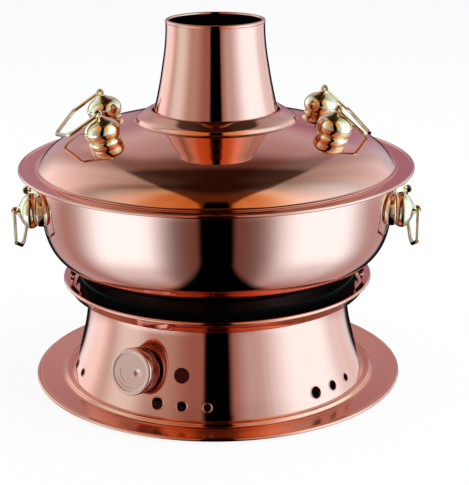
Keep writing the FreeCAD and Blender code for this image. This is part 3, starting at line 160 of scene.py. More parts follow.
def tinted(tree, shader, cloud, first, second):
    """Lets the colour drift between two tones as a noise does."""
    tree.feed(shader.inputs["Base Color"], tree.blend(cloud, first + (1,), second + (1,)))


def polished(tree, shader, grain, low, high, span=(0.3, 0.7)):
    """Lets the roughness go from low to high over a span, which holds most of a noise's values."""
    tree.feed(shader.inputs["Roughness"], tree.scale(grain, *span, low, high))


def bumped(tree, shader, height, distance):
    """Gives the surface a fine relief as deep as a distance."""
    made = tree.add("ShaderNodeBump")
    made.inputs["Distance"].default_value = distance
    tree.feed(made.inputs["Height"], height)
    tree.links.new(made.outputs[0], shader.inputs["Normal"])


# ---------------------------------------------------------------- finishes

SATIN_START, SATIN_END = (0.145, 0.149), (0.1655, 0.1665)      # radii where the foot's satin fades


def copper_finish():
    """Mirror-polished rose copper: faint cloudy tone, faint turning marks round the axis."""
    material, tree, shader = surface("copper_finish", Metallic=1.0)
    tinted(tree, shader, tree.noise(9.0, 2.0), (0.78, 0.33, 0.24), (0.82, 0.36, 0.27))
    polished(tree, shader, tree.noise(260.0, 2.0, tree.turned()), 0.03, 0.065, (0.3, 0.75))
    return material


def foot_copper_and_painted_reflection():
    """Copper of the foot ring: polished, with a satin flat that mirrors only softly; its tone, more orange than
    the other copper, is painted reflection.
    """
    material, tree, shader = surface("foot_copper_and_painted_reflection", Metallic=1.0)
    # Painted reflection: a base colour more orange than copper_finish, standing in for the orange that the ring
    # mirrors.
    tinted(tree, shader, tree.noise(9.0, 2.0), (0.78, 0.30, 0.20), (0.82, 0.33, 0.22))
    parts = tree.add("ShaderNodeSeparateXYZ")
    tree.feed(parts.inputs[0], tree.turned())
    radius = parts.outputs[0]
    satin = tree.math("MULTIPLY", tree.ease(radius, *SATIN_START),
                      tree.ease(radius, *SATIN_END, 1.0, 0.0))
    polished(tree, shader, satin, 0.05, 0.2, (0.0, 1.0))
    return material


def pale_gold():
    """Polished pale gold of the handles."""
    material, tree, shader = surface("pale_gold", Metallic=1.0)
    tinted(tree, shader, tree.noise(60.0, 2.0), (0.84, 0.64, 0.40), (0.88, 0.70, 0.46))
    polished(tree, shader, tree.noise(400.0), 0.04, 0.09)
    return material


def copper_knob():
    """Satin copper of the knob's cap."""
    material, tree, shader = surface("copper_knob", Metallic=1.0)
    tinted(tree, shader, tree.noise(40.0, 2.0), (0.72, 0.36, 0.29), (0.78, 0.42, 0.34))
    polished(tree, shader, tree.noise(700.0), 0.2, 0.32)
    return material


def band_shade_and_mark_copper():
    """Copper of the knob's band and marks, darker than its cap; on the band the darkness is painted shade, where
    the ribs shade each other.
    """
    material, tree, shader = surface("band_shade_and_mark_copper", Metallic=1.0)
    # Painted shade on the band: copper tones darker than the cap's.
    tinted(tree, shader, tree.noise(60.0, 2.0), (0.46, 0.17, 0.13), (0.52, 0.20, 0.16))
    polished(tree, shader, tree.noise(500.0), 0.12, 0.2)
    return material


def black_plate():
    """Matt black coating with a fine grain."""
    material, tree, shader = surface("black_plate", Metallic=0.0, Specular_IOR_Level=0.04)
    grain = tree.noise(900.0, 4.0)
    tinted(tree, shader, grain, (0.001, 0.001, 0.001), (0.003, 0.003, 0.003))
    polished(tree, shader, tree.noise(30.0), 0.38, 0.5)
    bumped(tree, shader, grain, 0.00006)
    return material


def plain_steel():
    """Bare steel, slightly cloudy."""
    material, tree, shader = surface("plain_steel", Metallic=1.0)
    cloud = tree.noise(120.0)
    tinted(tree, shader, cloud, (0.48, 0.48, 0.47), (0.62, 0.61, 0.59))
    polished(tree, shader, cloud, 0.28, 0.42)
    return material


def black_sheet():
    """Black paint on sheet metal, with a faint orange peel."""
    material, tree, shader = surface("black_sheet", Metallic=0.0)
    peel = tree.noise(700.0, 2.0)
    tinted(tree, shader, tree.noise(25.0), (0.022, 0.022, 0.023), (0.034, 0.034, 0.034))
    polished(tree, shader, peel, 0.42, 0.52)
    bumped(tree, shader, peel, 0.00005)
    return material


def rubber():
    """Dull black rubber."""
    material, tree, shader = surface("rubber", Metallic=0.0)
    grain = tree.noise(1600.0)
    tinted(tree, shader, tree.noise(80.0), (0.014, 0.014, 0.014), (0.026, 0.025, 0.024))
    polished(tree, shader, grain, 0.75, 0.9)
    bumped(tree, shader, grain, 0.00004)
    return material


def dark_plastic():
    """Moulded dark plastic with a fine grain."""
    material, tree, shader = surface("dark_plastic", Metallic=0.0)
    grain = tree.noise(2200.0)
    tinted(tree, shader, tree.noise(60.0), (0.020, 0.020, 0.020), (0.032, 0.031, 0.030))
    polished(tree, shader, grain, 0.4, 0.55)
    bumped(tree, shader, grain, 0.00003)
    return material


def red_lens():
    """Deep red lens of a lamp that isn't lit."""
    material, tree, shader = surface("red_lens", Metallic=0.0, Specular_IOR_Level=0.06)
    tinted(tree, shader, tree.noise(300.0), (0.032, 0.002, 0.002), (0.050, 0.003, 0.003))
    polished(tree, shader, tree.noise(500.0), 0.12, 0.2)
    return material


# The names of these functions are those of the record's material slots.
FINISHES = {make.__name__: make() for make in (
    copper_finish, pale_gold, copper_knob, black_plate, plain_steel, black_sheet, rubber,
    dark_plastic, red_lens)}


def dress_nodes():
    """Gives each CAD node the finish that the record names for it."""
    for part in frame["record"]["subparts"]:
        node = frame["nodes"][part["node"]]
        node.data.materials.clear()
        node.data.materials.append(FINISHES[part["material_slot"]])


# ---------------------------------------------------------------- shapes

# Profiles are lists of (radius, height) in millimetres. A shell's profile runs along its outside.
TURN_STEPS = 240
GAUGE = 1.2                    # thickness of the copper-coloured shells, as in the part's source
SHARP_EDGE = 35.0              # degrees
UP = Vector((0, 0, 1))


def flow(points, steps=6):
    """Smooth curve along points: a cubic B-spline that starts and ends on them."""
    before, after = [(2 * end[0] - near[0], 2 * end[1] - near[1])
                     for end, near in ((points[0], points[1]), (points[-1], points[-2]))]
    hull = [before] + list(points) + [after]
    curve = []
    for k in range(len(points) - 1):
        for step in range(steps):
            t = step / steps
            shares = ((1 - t) ** 3, 3 * t ** 3 - 6 * t ** 2 + 4,
                      -3 * t ** 3 + 3 * t ** 2 + 3 * t + 1, t ** 3)
            curve.append(tuple(sum(share * hull[k + n][axis] for n, share in enumerate(shares)) / 6
                               for axis in (0, 1)))
    return curve + [points[-1]]


def arc(centre, radius, start, end, steps=8):
    """Points on an arc; angles in degrees from outward towards up."""
    turns = [math.radians(start + (end - start) * k / steps) for k in range(steps + 1)]
    return [(centre[0] + radius * math.cos(t), centre[1] + radius * math.sin(t)) for t in turns]


def beside(points, distance):
    """An open profile shifted to the right of its own direction."""
    shifted = []
    for k, (radius, height) in enumerate(points):
        (r0, z0), (r1, z1) = points[max(k - 1, 0)], points[min(k + 1, len(points) - 1)]
        share = distance / math.hypot(r1 - r0, z1 - z0)
        shifted.append((radius + (z1 - z0) * share, height - (r1 - r0) * share))
    return shifted


def turn(mesh, outline, place=Matrix(), steps=TURN_STEPS, ribs=0):
    """Adds a closed outline turned round its height axis, and returns its rings.

    A third number on a point is how far ribs stand out of its ring.
    """
    rings = []
    for radius, height, *depth in outline:
        if radius == 0:
            rings.append([mesh.verts.new(place @ Vector((0, 0, height * MM)))] * steps)
            continue
        ring = []
        for k in range(steps):
            angle = 2 * math.pi * k / steps
            reach = radius + (depth[0] * math.cos(ribs * angle) if depth else 0)
            spot = Vector((reach * math.cos(angle), reach * math.sin(angle), height)) * MM
            ring.append(mesh.verts.new(place @ spot))
        rings.append(ring)
    for ring, following in zip(rings, rings[1:] + rings[:1]):
        for k in range(steps):
            after = (k + 1) % steps
            corners = list(dict.fromkeys((ring[k], ring[after], following[after], following[k])))
            if len(corners) > 2:
                mesh.faces.new(corners)
    return rings


def make_piece(name, mesh, slot, body, *nodes, finish=None):
    """Makes a smooth piece from a bmesh; it rides on a body and stands for the named nodes."""
    bmesh.ops.recalc_face_normals(mesh, faces=mesh.faces)
    data = bpy.data.meshes.new(name)
    mesh.to_mesh(data)
    mesh.free()
    data.polygons.foreach_set("use_smooth", [True] * len(data.polygons))
    data.set_sharp_from_angle(angle=math.radians(SHARP_EDGE))
    data.materials.append(finish or FINISHES[slot])
    piece = bpy.data.objects.new(name, data)
    bpy.context.scene.collection.objects.link(piece)
    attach(piece, body)
    if nodes:
        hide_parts(*nodes)


def frame_at(spot, sideways, outward):
    """Matrix of a frame at a spot in millimetres: X sideways, Z outward."""
    across = outward.cross(sideways)
    turned = Matrix((sideways, across, outward)).transposed().to_4x4()
    return Matrix.Translation(spot * MM) @ turned


# ---------------------------------------------------------------- bowl, chimney and lid

BOWL_WALL = flow([(72.8, 108.1), (89.0, 108.1), (105.0, 108.1), (119.0, 108.8), (131.5, 111.6),
                  (143.0, 117.8), (151.0, 126.6), (155.9, 137.0), (158.4, 149.0), (159.7, 163.0),
                  (160.9, 180.0), (161.7, 191.0), (161.9, 197.6)])
CHIMNEY_WALL = [(78.0, 109.3)] + flow([
    (78.0, 112.3), (70.8, 156.9), (63.5, 201.6), (57.8, 237.0), (56.2, 246.5), (54.6, 252.0),
    (52.2, 263.0), (49.9, 274.0), (48.1, 285.0), (46.3, 296.0), (44.8, 307.0), (44.0, 318.0),
    (43.9, 326.4)], 8)
DOME = flow([(64.0, 241.4), (76.0, 239.3), (90.0, 236.5), (104.0, 233.3), (116.0, 230.1),
             (126.0, 226.8), (136.0, 222.6), (145.0, 217.6), (152.5, 211.6), (158.0, 205.2),
             (160.7, 201.3)])
COLLAR = flow([(73.6, 239.6), (72.5, 240.0), (71.7, 240.8), (71.2, 241.9), (70.6, 243.0),
               (69.3, 244.2), (66.0, 246.2), (62.5, 248.3), (60.2, 249.7), (58.8, 250.2),
               (57.6, 249.9), (57.0, 249.0), (56.9, 247.8), (56.9, 244.8)])
BRIM_BEND = (163.1, 197.6)                       # centre of the bend from the wall to the brim
BRIM_EDGE, BRIM_ROLL = (176.7, 199.4), 1.6       # centre and radius of a rolled edge
CHIMNEY_EDGE, CHIMNEY_ROLL = (42.6, 327.8), 1.7
# Radii of the flange: inner edge, foot of the dome, and where the outer edge starts to round.
FLANGE_INSIDE, FLANGE_START, FLANGE_END = 160.0, 161.3, 163.2
FLANGE_SEAT, FLANGE_TOP, FLANGE_ROUND = 200.0, 201.0, 0.4        # heights, and the edge's rounding


def make_bowl():
    """Round bowl; its brim ends in a rolled edge."""
    edge = arc(BRIM_EDGE, BRIM_ROLL, 202, 518, 28)
    lip = arc(BRIM_BEND, 2 * GAUGE, 90, 180)
    fillet = arc(BRIM_BEND, GAUGE, 180, 90, 4)
    mesh = bmesh.new()
    turn(mesh, BOWL_WALL + fillet[1:] + edge + lip + beside(BOWL_WALL, -GAUGE)[-2::-1])
    make_piece("bowl", mesh, "copper_finish", "pot", "pot_bowl")


def make_chimney():
    """Tube that flares towards its foot, with a rolled top edge."""
    edge = arc(CHIMNEY_EDGE, CHIMNEY_ROLL, -45, 268, 26)
    mesh = bmesh.new()
    turn(mesh, CHIMNEY_WALL + edge + beside(CHIMNEY_WALL, -GAUGE)[-2::-1])
    make_piece("chimney", mesh, "copper_finish", "pot", "chimney_tube")


def make_dome():
    """Domed lid on a narrow flange that lies on the brim."""
    flange = ([(FLANGE_START, FLANGE_TOP)]
              + arc((FLANGE_END, FLANGE_TOP - FLANGE_ROUND), FLANGE_ROUND, 90, 0, 4)
              + arc((FLANGE_END, FLANGE_SEAT + FLANGE_ROUND), FLANGE_ROUND, 0, -90, 4)
              + [(FLANGE_INSIDE, FLANGE_SEAT)])
    mesh = bmesh.new()
    turn(mesh, DOME + flange + beside(DOME, GAUGE)[::-1])
    make_piece("dome", mesh, "copper_finish", "lid", "lid_dome")


def make_collar():
    """Raised ring round the lid's hole, run softly on to the dome."""
    mesh = bmesh.new()
    turn(mesh, COLLAR + beside(COLLAR, -GAUGE)[::-1])
    make_piece("collar", mesh, "copper_finish", "lid", "lid_collar")


# ---------------------------------------------------------------- foot plate

FOOT_LAND = [(110.0, 6.7), (138.4, 6.7), (138.7, 6.3), (139.0, 6.7), (140.2, 6.7), (140.5, 6.3),
             (140.8, 6.7)]
FOOT_STEP = [(142.0, 6.7), (142.9, 6.3), (143.4, 5.4), (143.8, 4.2), (144.4, 3.4), (145.6, 3.2)]
FOOT_FLAT = [(147.0, 3.3), (156.0, 3.9), (166.6, 4.6)]
FOOT_TOP = FOOT_LAND + flow(FOOT_STEP) + flow(FOOT_FLAT)
FOOT_EDGE, FOOT_ROLL = (168.1, 3.5), 1.6


def make_foot():
    """Wide foot ring with a raised land, a fine double line and a rolled edge."""
    mesh = bmesh.new()
    turn(mesh, FOOT_TOP + arc(FOOT_EDGE, FOOT_ROLL, 140, -140, 24) + beside(FOOT_TOP, GAUGE)[::-1])
    make_piece("foot_ring", mesh, "copper_finish", "base", "foot_plate", finish=foot_copper_and_painted_reflection())


# ---------------------------------------------------------------- handle posts

# Heights are counted from a post's seat, along the post. A bail turns in the eyes of two posts.
POST_LEAN = {"lid": 13.0, "pot": 90.0}      # degrees from up towards outward
EYE_REACH = {"lid": 46.0, "pot": 35.0}      # from the middle of a bail's axis to its eyes
EYE_HEIGHT = 24.6
POST_STEPS, EYE_STEPS = 96, 48
POST_FOOT, POST_SINK = 12.3, 0.3            # radius of a post's foot, and its depth in the ring
POST_TOP = [(10.5, 17.8), (7.4, 19.4), (4.9, 20.7), (3.5, 21.8), (2.9, 23.0)]
POST_BULB = {
    "lid": [(12.6, 1.5), (13.3, 1.9), (14.3, 3.2), (15.4, 5.4), (15.9, 8.0), (15.9, 10.4),
            (15.1, 13.0), (13.1, 15.8)],
    "pot": [(12.6, 4.4), (13.4, 4.8), (14.5, 5.8), (15.4, 7.4), (15.9, 9.2), (15.9, 11.0),
            (15.1, 13.2), (13.1, 15.8)],
}
RING_TOP = {"lid": 1.5, "pot": 4.3}
RING_EDGE = [(12.7, -0.05), (13.5, -0.25), (14.1, -0.8), (14.25, -1.5)]     # from the ring's top
RING_HOLE, RING_OUTSIDE, RING_DEPTH = 11.6, 14.3, 2.0
RING_BITE, RING_STEP = 0.4, 0.1             # how far a ring bites into its shell, in what steps
EYE_WIRE = 0.8
EYE = ([(1.8, -1.9), (2.1, -2.2)] + arc((2.7, -1.4), EYE_WIRE, -90, 0, 5)
       + arc((2.7, 1.4), EYE_WIRE, 0, 90, 5) + [(2.1, 2.2), (1.8, 1.9)])


def post_frames(owner):
    """Name, seat matrix and eye matrix of each of a lid's or pot's four posts."""
    lean = math.radians(POST_LEAN[owner])
    for side in ("right", "left"):
        joint = JOINTS["%s_bail_%s_swing" % (owner, side)]
        middle = Vector(joint["pos_m"]) / MM
        sideways = -Vector(joint["axis"]).normalized()
        axis = sideways.cross(UP) * math.sin(lean) + UP * math.cos(lean)
        for end, sign in (("front", -1), ("rear", 1)):
            sign = sign if sideways.y > 0 else -sign
            eye = middle + sideways * sign * EYE_REACH[owner]
            seat = frame_at(eye - axis * EYE_HEIGHT, sideways, axis)
            yield "%s_%s" % (side, end), seat, frame_at(eye, axis, sideways)


def crossing(profile, axis, number):
    """The other coordinate where a profile's radius (axis 0) or height (axis 1) is a number."""
    for first, second in zip(profile, profile[1:]):
        if second[axis] > first[axis] and first[axis] <= number <= second[axis]:
            share = (number - first[axis]) / (second[axis] - first[axis])
            return first[1 - axis] + share * (second[1 - axis] - first[1 - axis])


def standing_off(owner, spot):
    """How far a spot stands off the shell that carries an owner's posts, in millimetres."""
    radius, height = math.hypot(spot.x, spot.y) / MM, spot.z / MM
    if owner == "lid":
        return height - crossing(DOME, 0, radius)
    return radius - crossing(BOWL_WALL, 1, height)


def make_posts(owner):
    """Four onion-shaped posts with wire eyes, and one piece with the rings that they stand on."""
    rings = bmesh.new()
    top = RING_TOP[owner]
    foot = [(0, top - POST_SINK), (POST_FOOT, top - POST_SINK)]
    post_outline = foot + flow(POST_BULB[owner] + POST_TOP) + [(0, POST_TOP[-1][1])]
    edge = [(radius, top + height) for radius, height in flow(RING_EDGE, 4)]
    underside = [(RING_OUTSIDE, top - RING_DEPTH), (RING_HOLE, top - RING_DEPTH)]
    ring_outline = [(RING_HOLE, top)] + edge + underside
    for name, seat, eye in post_frames(owner):
        post = bmesh.new()
        turn(post, post_outline, seat, POST_STEPS)
        turn(post, EYE, eye, EYE_STEPS)
        make_piece("%s_handle_%s" % (owner, name), post, "pale_gold", owner,
                   "%s_post_%s" % (owner, name))
        down = seat.to_3x3() @ Vector((0, 0, -RING_STEP * MM))
        for ring in turn(rings, ring_outline, seat, POST_STEPS)[-len(underside):]:
            for corner in ring:
                while standing_off(owner, corner.co) > -RING_BITE:
                    corner.co += down
    make_piece("%s_handle_rings" % owner, rings, "pale_gold", owner, "%s_post_bases" % owner)


# ---------------------------------------------------------------- control knob

# Heights are counted along the knob's axis, from the housing.
KNOB_RIBS, RIB_STEPS = 60, 8
KNOB_BAND = [(16.6, 3.0), (18.8, 3.0), (19.1, 3.3), (19.1, 5.2), (19.5, 5.6), (19.8, 6.0, 0.45),
             (19.8, 9.8, 0.45), (19.8, 13.6, 0.45), (19.5, 14.0), (19.1, 14.2), (19.1, 14.9),
             (16.6, 14.9)]
BORE_RADIUS, BORE_TOP = 3.1, 12.0
KNOB_CAP = ([(BORE_RADIUS, 3.0), (6.0, 3.0), (6.0, 14.9), (19.3, 14.9), (19.9, 15.1), (20.3, 15.6),
             (20.3, 17.0)] + arc((18.6, 18.5), 1.7, 0, 90, 8)
            + [(17.2, 20.2), (16.9, 20.1), (16.6, 19.75)])
FACE_HEIGHT, FACE_RADIUS, FACE_RINGS = 19.7, 16.4, 30
DIMPLE_OFFSET, DIMPLE_RADIUS, DIMPLE_DEPTH = 7.2, 3.6, 1.1
MARKS = (
    # radius, first and last angle from the dimple's side, half width
    (13.9, 203.0, 292.0, 0.32),
    (10.4, 170.0, 268.0, 0.26),
)
MARK_HALF_HEIGHT = 0.14
MARK_STEPS = 48


def knob_place():
    """Matrix of the knob's seat: X level, Z along the axis that it turns about."""
    joint = JOINTS["knob_turn"]
    axis = Vector(joint["axis"]).normalized()
    return frame_at(Vector(joint["pos_m"]) / MM, UP.cross(axis).normalized(), axis)


def make_knob_band(place, finish):
    """Finely ribbed band."""
    mesh = bmesh.new()
    turn(mesh, KNOB_BAND, place, KNOB_RIBS * RIB_STEPS, KNOB_RIBS)
    make_piece("knob_band", mesh, "copper_knob", "knob", finish=finish)


def make_knob_cap(place):
    """Cap on a stem, with a rounded rim, a flat face sunk inside it and a dimple for a finger."""
    mesh = bmesh.new()
    face = [(FACE_RADIUS * k / FACE_RINGS, FACE_HEIGHT) for k in range(FACE_RINGS, -1, -1)]
    turn(mesh, KNOB_CAP + face + [(0, BORE_TOP), (BORE_RADIUS, BORE_TOP)])
    for corner in mesh.verts:
        away = math.hypot(corner.co.x / MM - DIMPLE_OFFSET, corner.co.y / MM) / DIMPLE_RADIUS
        if away < 1 and corner.co.z > (FACE_HEIGHT - 1) * MM:
            corner.co.z -= DIMPLE_DEPTH * (1 - away ** 2) * MM
    bmesh.ops.transform(mesh, matrix=place, verts=mesh.verts)
    make_piece("knob_cap", mesh, "copper_knob", "knob", "control_knob")


def make_knob_marks(place, finish):
    """Two curved marks that taper to their ends, raised a little from the face."""
    low, high = FACE_HEIGHT - MARK_HALF_HEIGHT, FACE_HEIGHT + MARK_HALF_HEIGHT
    mesh = bmesh.new()
    for radius, first, last, half in MARKS:
        rows = []
        for k in range(MARK_STEPS + 1):
            angle = math.radians(first + (last - first) * k / MARK_STEPS)
            width = half * math.sin(math.pi * (k + 0.5) / (MARK_STEPS + 1))
            row = []
            for away, height in ((radius - width, low), (radius + width, low),
                                 (radius + width, high), (radius - width, high)):
                spot = Vector((away * math.cos(angle), away * math.sin(angle), height)) * MM
                row.append(mesh.verts.new(place @ spot))
            rows.append(row)
        for row, following in zip(rows, rows[1:]):
            for n, after in ((0, 1), (1, 2), (2, 3), (3, 0)):
                mesh.faces.new((row[n], row[after], following[after], following[n]))
        mesh.faces.new(rows[0])
        mesh.faces.new(rows[-1])
    make_piece("knob_marks", mesh, "copper_knob", "knob", finish=finish)


def make_knob():
    """The band, the cap and the marks, all on the knob's own seat."""
    # The band and the marks get a darker copper; on the band it is painted shade of the ribs.
    place, dark = knob_place(), band_shade_and_mark_copper()
    make_knob_band(place, dark)
    make_knob_cap(place)
    make_knob_marks(place, dark)


# ---------------------------------------------------------------- vents

# The housing's flare is an arc of a given reach. Its centre lies outside, level with its top.
FLARE_TOP, FLARE_RADIUS, FLARE_REACH = 84.5, 119.7, 175.39
VENT_HEIGHT, VENT_RADII = 16.8, (5.5, 4.6, 3.7)
VENT_AZIMUTH, VENT_SPACING, VENT_PITCH, VENT_GROUPS = -12.9, 9.6, 63.2, 5
RIM_ROUND, RIM_OUT, RIM_SINK = 0.55, 0.15, 0.1     # a rim's section: radius and place of its centre
RIM_STEPS = 48


def make_vent_rims():
    """Rounded pressed rims round the graded vents."""
    drop = FLARE_TOP - VENT_HEIGHT
    level = math.sqrt(FLARE_REACH ** 2 - drop ** 2)
    radius = FLARE_RADIUS + FLARE_REACH - level
    mesh = bmesh.new()
    for group in range(VENT_GROUPS):
        for number, hole in enumerate(VENT_RADII, start=-1):
            azimuth = VENT_AZIMUTH + (group - VENT_GROUPS // 2) * VENT_PITCH + number * VENT_SPACING
            angle = math.radians(azimuth)
            away = Vector((math.sin(angle), -math.cos(angle), 0))
            sideways = Vector((math.cos(angle), math.sin(angle), 0))
            outward = (away * level + UP * drop) / FLARE_REACH
            place = frame_at(away * radius + UP * VENT_HEIGHT, sideways, outward)
            turn(mesh, arc((hole + RIM_OUT, -RIM_SINK), RIM_ROUND, 0, 330, 11), place, RIM_STEPS)
    make_piece("vent_rims", mesh, "copper_finish", "base")


# ---------------------------------------------------------------- studio

# What the polished metal mirrors. Each panel has the azimuth and elevation of its centre, each with
# its half span and soft edge, all in degrees, and then a radiance. Walls, tables and the glow add
# it, and shades multiply by it what is there. The walls stand above the level of the table, and the
# tables lie below it.
AMBIENT = (0.38, 0.25, 0.22)
WALLS = (
    # name           az     half  soft  el    half  soft  radiance
    ("right_wall", 90.0, 62.0, 18.0, 20.0, 46.0, 16.0, (0.26, 0.54, 0.66)),
    ("right_box", 80.0, 12.0, 38.0, 20.0, 46.0, 16.0, (0.72, 1.65, 2.20)),
    ("back_right", 132.0, 8.0, 14.0, 20.0, 46.0, 16.0, (0.30, 0.45, 0.52)),
    ("left_wall", -100.0, 54.0, 26.0, 20.0, 46.0, 16.0, (0.18, 0.33, 0.33)),
    ("left_box", -80.0, 3.0, 26.0, 20.0, 46.0, 16.0, (0.38, 0.85, 1.05)),
    ("back_left", -126.0, 10.0, 20.0, 20.0, 46.0, 16.0, (0.62, 1.00, 1.25)),
    ("back_wall", 180.0, 24.0, 10.0, 20.0, 14.0, 20.0, (0.05, 0.01, 0.13)),
    ("back_window", 180.0, 14.0, 10.0, 33.0, 4.0, 12.0, (0.55, 0.78, 0.85)),
)
TABLES = (
    ("left_table", -66.0, 10.0, 44.0, -24.0, 4.0, 50.0, (0.64, 1.45, 1.90)),
    ("right_table", 72.0, 12.0, 46.0, -24.0, 4.0, 50.0, (0.66, 1.50, 2.00)),
    ("left_belt", -62.0, 12.0, 30.0, -22.0, 4.0, 14.0, (0.42, 1.00, 1.33)),
    ("right_belt", 74.0, 14.0, 30.0, -22.0, 4.0, 14.0, (0.38, 0.90, 1.20)),
    ("back_floor", 180.0, 50.0, 30.0, -56.0, 40.0, 4.0, (0.20, 0.33, 0.42)),
)
GLOW = ("front_glow", 0.0, 64.0, 34.0, 54.0, 14.0, 16.0, (0.46, 0.27, 0.09))
TABLE_LEVEL = (-20.0, -15.0)            # elevations between which walls take over from tables
FADE_SPAN, FADE_TINT = (15.0, 64.0), (0.36, 0.29, 0.22)    # the walls dim towards their tops
SHADES = (
    ("front_floor", 0.0, 24.0, 22.0, -60.0, 36.0, 6.0, (0.5, 0.5, 0.5)),
    ("front_warm", 0.0, 44.0, 26.0, 54.0, 14.0, 12.0, (1.0, 0.75, 0.42)),
    ("back_edge", 180.0, 26.0, 10.0, -26.0, 20.0, 6.0, (0.02, 0.02, 0.02)),
)
# The dark ceiling is given in tangents from overhead: its half width there, its soft edge, how fast
# it widens behind and narrows in front, its least half width, and the span in which it ends behind.
CEILING_HALF, CEILING_EDGE = 0.35, 0.03
CEILING_WIDEN, CEILING_TAPER, CEILING_NARROW = 0.17, 0.31, 0.17
CEILING_BACK, CEILING_TINT = (-0.78, -0.58), (0.20, 0.15, 0.13)
BAND_BACK, BAND_TINT = (-3.0, -1.4), (0.70, 0.66, 0.66)    # a fainter band goes on behind it
GAP_SPAN = (0.25, 0.40)                 # dark gap between the tables, in tangents from below
SLOT_CENTRE, SLOT_HALF, SLOT_EDGE = 0.5, 9.0, 5.0          # black strip on the camera's side
SLOT_TOP = (60.0, 66.0)
DEGREES = 57.29578                      # in a radian
SMALLEST = 0.001


def lobe(tree, angle, centre, half, soft):
    """1 within half of the centre, falling smoothly to 0 over the soft edge; angles wrap round."""
    shifted = tree.math("ADD", angle, 540.0 - centre)
    turned = tree.math("SUBTRACT", tree.math("FLOORED_MODULO", shifted, 360.0), 180.0)
    away = tree.math("ABSOLUTE", turned)
    return tree.ease(away, half, half + soft, 1.0, 0.0)


def laid_over(tree, kind, reach, under, tint, name):
    """Adds a tint to what is under it, or multiplies by it, as far as it reaches."""
    made = tree.add("ShaderNodeMix", data_type="RGBA", blend_type=kind, label=name)
    tree.feed(made.inputs["Factor"], reach)
    tree.feed(made.inputs[6], under)
    made.inputs[7].default_value = tint + (1.0,)
    return made.outputs[2]


def panel_light(tree, azimuth, elevation):
    """Light of the walls and tables, with the fade, the glow and the shades."""
    def reach_of(panel):
        """1 inside a panel and 0 outside it."""
        return tree.math("MULTIPLY", lobe(tree, azimuth, *panel[1:4]),
                         lobe(tree, elevation, *panel[4:7]))

    above = tree.ease(elevation, *TABLE_LEVEL)
    below = tree.math("SUBTRACT", 1.0, above)
    light = AMBIENT + (1.0,)
    for panels, share in ((WALLS, above), (TABLES, below)):
        for panel in panels:
            reach = tree.math("MULTIPLY", reach_of(panel), share)
            light = laid_over(tree, "ADD", reach, light, panel[-1], panel[0])
    high = tree.scale(elevation, *FADE_SPAN, 0.0, 1.0)
    light = laid_over(tree, "MULTIPLY", high, light, FADE_TINT, "fade")
    light = laid_over(tree, "ADD", reach_of(GLOW), light, GLOW[-1], GLOW[0])
    for panel in SHADES:
        light = laid_over(tree, "MULTIPLY", reach_of(panel), light, panel[-1], panel[0])
    return light


def with_ceiling(tree, light, front, aside, z):
    """The light under the dark ceiling and the fainter band behind it."""
    rise = tree.math("MAXIMUM", z, SMALLEST)
    toward = tree.math("DIVIDE", front, rise)
    before = tree.math("MAXIMUM", toward, 0.0)
    after = tree.math("MAXIMUM", tree.math("MULTIPLY", toward, -1.0), 0.0)
    half = tree.math("SUBTRACT", CEILING_HALF, tree.math("MULTIPLY", before, CEILING_TAPER))
    half = tree.math("ADD", half, tree.math("MULTIPLY", after, CEILING_WIDEN))
    half = tree.math("MAXIMUM", half, CEILING_NARROW)
    spare = tree.math("SUBTRACT", half, tree.math("DIVIDE", aside, rise))
    inside = tree.ease(spare, -CEILING_EDGE, CEILING_EDGE)
    covered = tree.ease(toward, *CEILING_BACK)
    behind = tree.math("MULTIPLY", tree.math("SUBTRACT", 1.0, covered),
                       tree.ease(toward, *BAND_BACK))
    for name, share, tint in (("band", behind, BAND_TINT), ("ceiling", covered, CEILING_TINT)):
        light = laid_over(tree, "MULTIPLY", tree.math("MULTIPLY", inside, share), light, tint, name)
    return light


def with_slot(tree, light, azimuth, elevation, aside, z):
    """The light with a black gap between the tables and a black strip on the camera's side."""
    fall = tree.math("MAXIMUM", tree.math("MULTIPLY", z, -1.0), SMALLEST)
    gap = tree.ease(tree.math("DIVIDE", aside, fall), *GAP_SPAN, 1.0, 0.0)
    strip = tree.math("MULTIPLY", lobe(tree, azimuth, SLOT_CENTRE, SLOT_HALF, SLOT_EDGE),
                      tree.ease(elevation, *SLOT_TOP, 1.0, 0.0))
    dark = tree.math("MAXIMUM", gap, strip)
    return laid_over(tree, "MULTIPLY", dark, light, (0.0, 0.0, 0.0), "slot")


def make_world():
    """White to the camera; soft panels, a dark ceiling and a black slot to the metal."""
    world = bpy.data.worlds.new("studio")
    bpy.context.scene.world = world
    tree = Tree(world)
    parts = tree.add("ShaderNodeSeparateXYZ")
    tree.feed(parts.inputs[0], tree.add("ShaderNodeTexCoord").outputs["Generated"])
    x, y, z = parts.outputs
    front = tree.math("MULTIPLY", y, -1.0)
    aside = tree.math("ABSOLUTE", x)
    azimuth = tree.math("MULTIPLY", tree.math("ARCTAN2", x, front), DEGREES)
    elevation = tree.math("MULTIPLY", tree.math("ARCSINE", z), DEGREES)
    light = panel_light(tree, azimuth, elevation)
    light = with_ceiling(tree, light, front, aside, z)
    light = with_slot(tree, light, azimuth, elevation, aside, z)
    seen = tree.add("ShaderNodeLightPath")
    clear = tree.math("MAXIMUM", seen.outputs["Is Camera Ray"], seen.outputs["Is Transmission Ray"])
    background = tree.add("ShaderNodeBackground")
    tree.feed(background.inputs["Color"], tree.blend(clear, light, (1, 1, 1, 1)))
    output = tree.add("ShaderNodeOutputWorld")
    tree.links.new(background.outputs[0], output.inputs["Surface"])


FLOOR_HALF = 3.0
FLOOR_WHITE_SHARE = 0.9       # share of plain white in what the camera sees of the floor


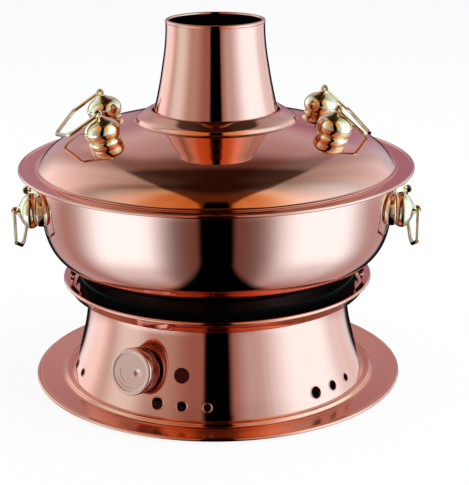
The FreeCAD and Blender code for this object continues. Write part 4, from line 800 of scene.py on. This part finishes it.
def make_floor():
    """Pale floor. The camera sees it nearly white, with the object's soft shadow."""
    mesh = bpy.data.meshes.new("floor")
    corners = [(x * FLOOR_HALF, y * FLOOR_HALF, 0) for x, y in ((-1, -1), (1, -1), (1, 1), (-1, 1))]
    mesh.from_pydata(corners, [], [(0, 1, 2, 3)])
    floor = bpy.data.objects.new("floor", mesh)
    bpy.context.scene.collection.objects.link(floor)
    material = bpy.data.materials.new("pale_floor")
    tree = Tree(material)
    matt = tree.add("ShaderNodeBsdfDiffuse")
    matt.inputs["Color"].default_value = (0.86, 0.86, 0.86, 1)
    white = tree.add("ShaderNodeEmission")
    mixed = tree.add("ShaderNodeMixShader")
    seen = tree.add("ShaderNodeLightPath").outputs["Is Camera Ray"]
    tree.feed(mixed.inputs[0], tree.math("MULTIPLY", seen, FLOOR_WHITE_SHARE))
    tree.links.new(matt.outputs[0], mixed.inputs[1])
    tree.links.new(white.outputs[0], mixed.inputs[2])
    output = tree.add("ShaderNodeOutputMaterial")
    tree.links.new(mixed.outputs[0], output.inputs["Surface"])
    mesh.materials.append(material)
    floor.visible_glossy = False


LAMPS = (
    # name, place, size, watts
    ("top_lamp", (0.2, 0.3, 1.6), 1.4, 16.0),
    ("left_lamp", (-1.5, -0.6, 1.2), 0.9, 9.0),
    ("right_lamp", (1.5, -0.6, 1.2), 0.9, 9.0),
)


def make_lamps():
    """Soft lamps that light the matt surfaces; the metal doesn't mirror them."""
    for name, place, size, power in LAMPS:
        data = bpy.data.lights.new(name, "AREA")
        data.size = size
        data.energy = power
        lamp = bpy.data.objects.new(name, data)
        lamp.location = place
        lamp.rotation_euler = (-Vector(place)).to_track_quat("-Z", "Y").to_euler()
        lamp.visible_glossy = False
        bpy.context.scene.collection.objects.link(lamp)


make_camera()
make_world()
make_floor()
make_lamps()
dress_nodes()
make_bowl()
make_chimney()
make_dome()
make_collar()
make_foot()
make_posts("lid")
make_posts("pot")
make_knob()
make_vent_rims()

bpy.context.scene.view_settings.view_transform = "Standard"
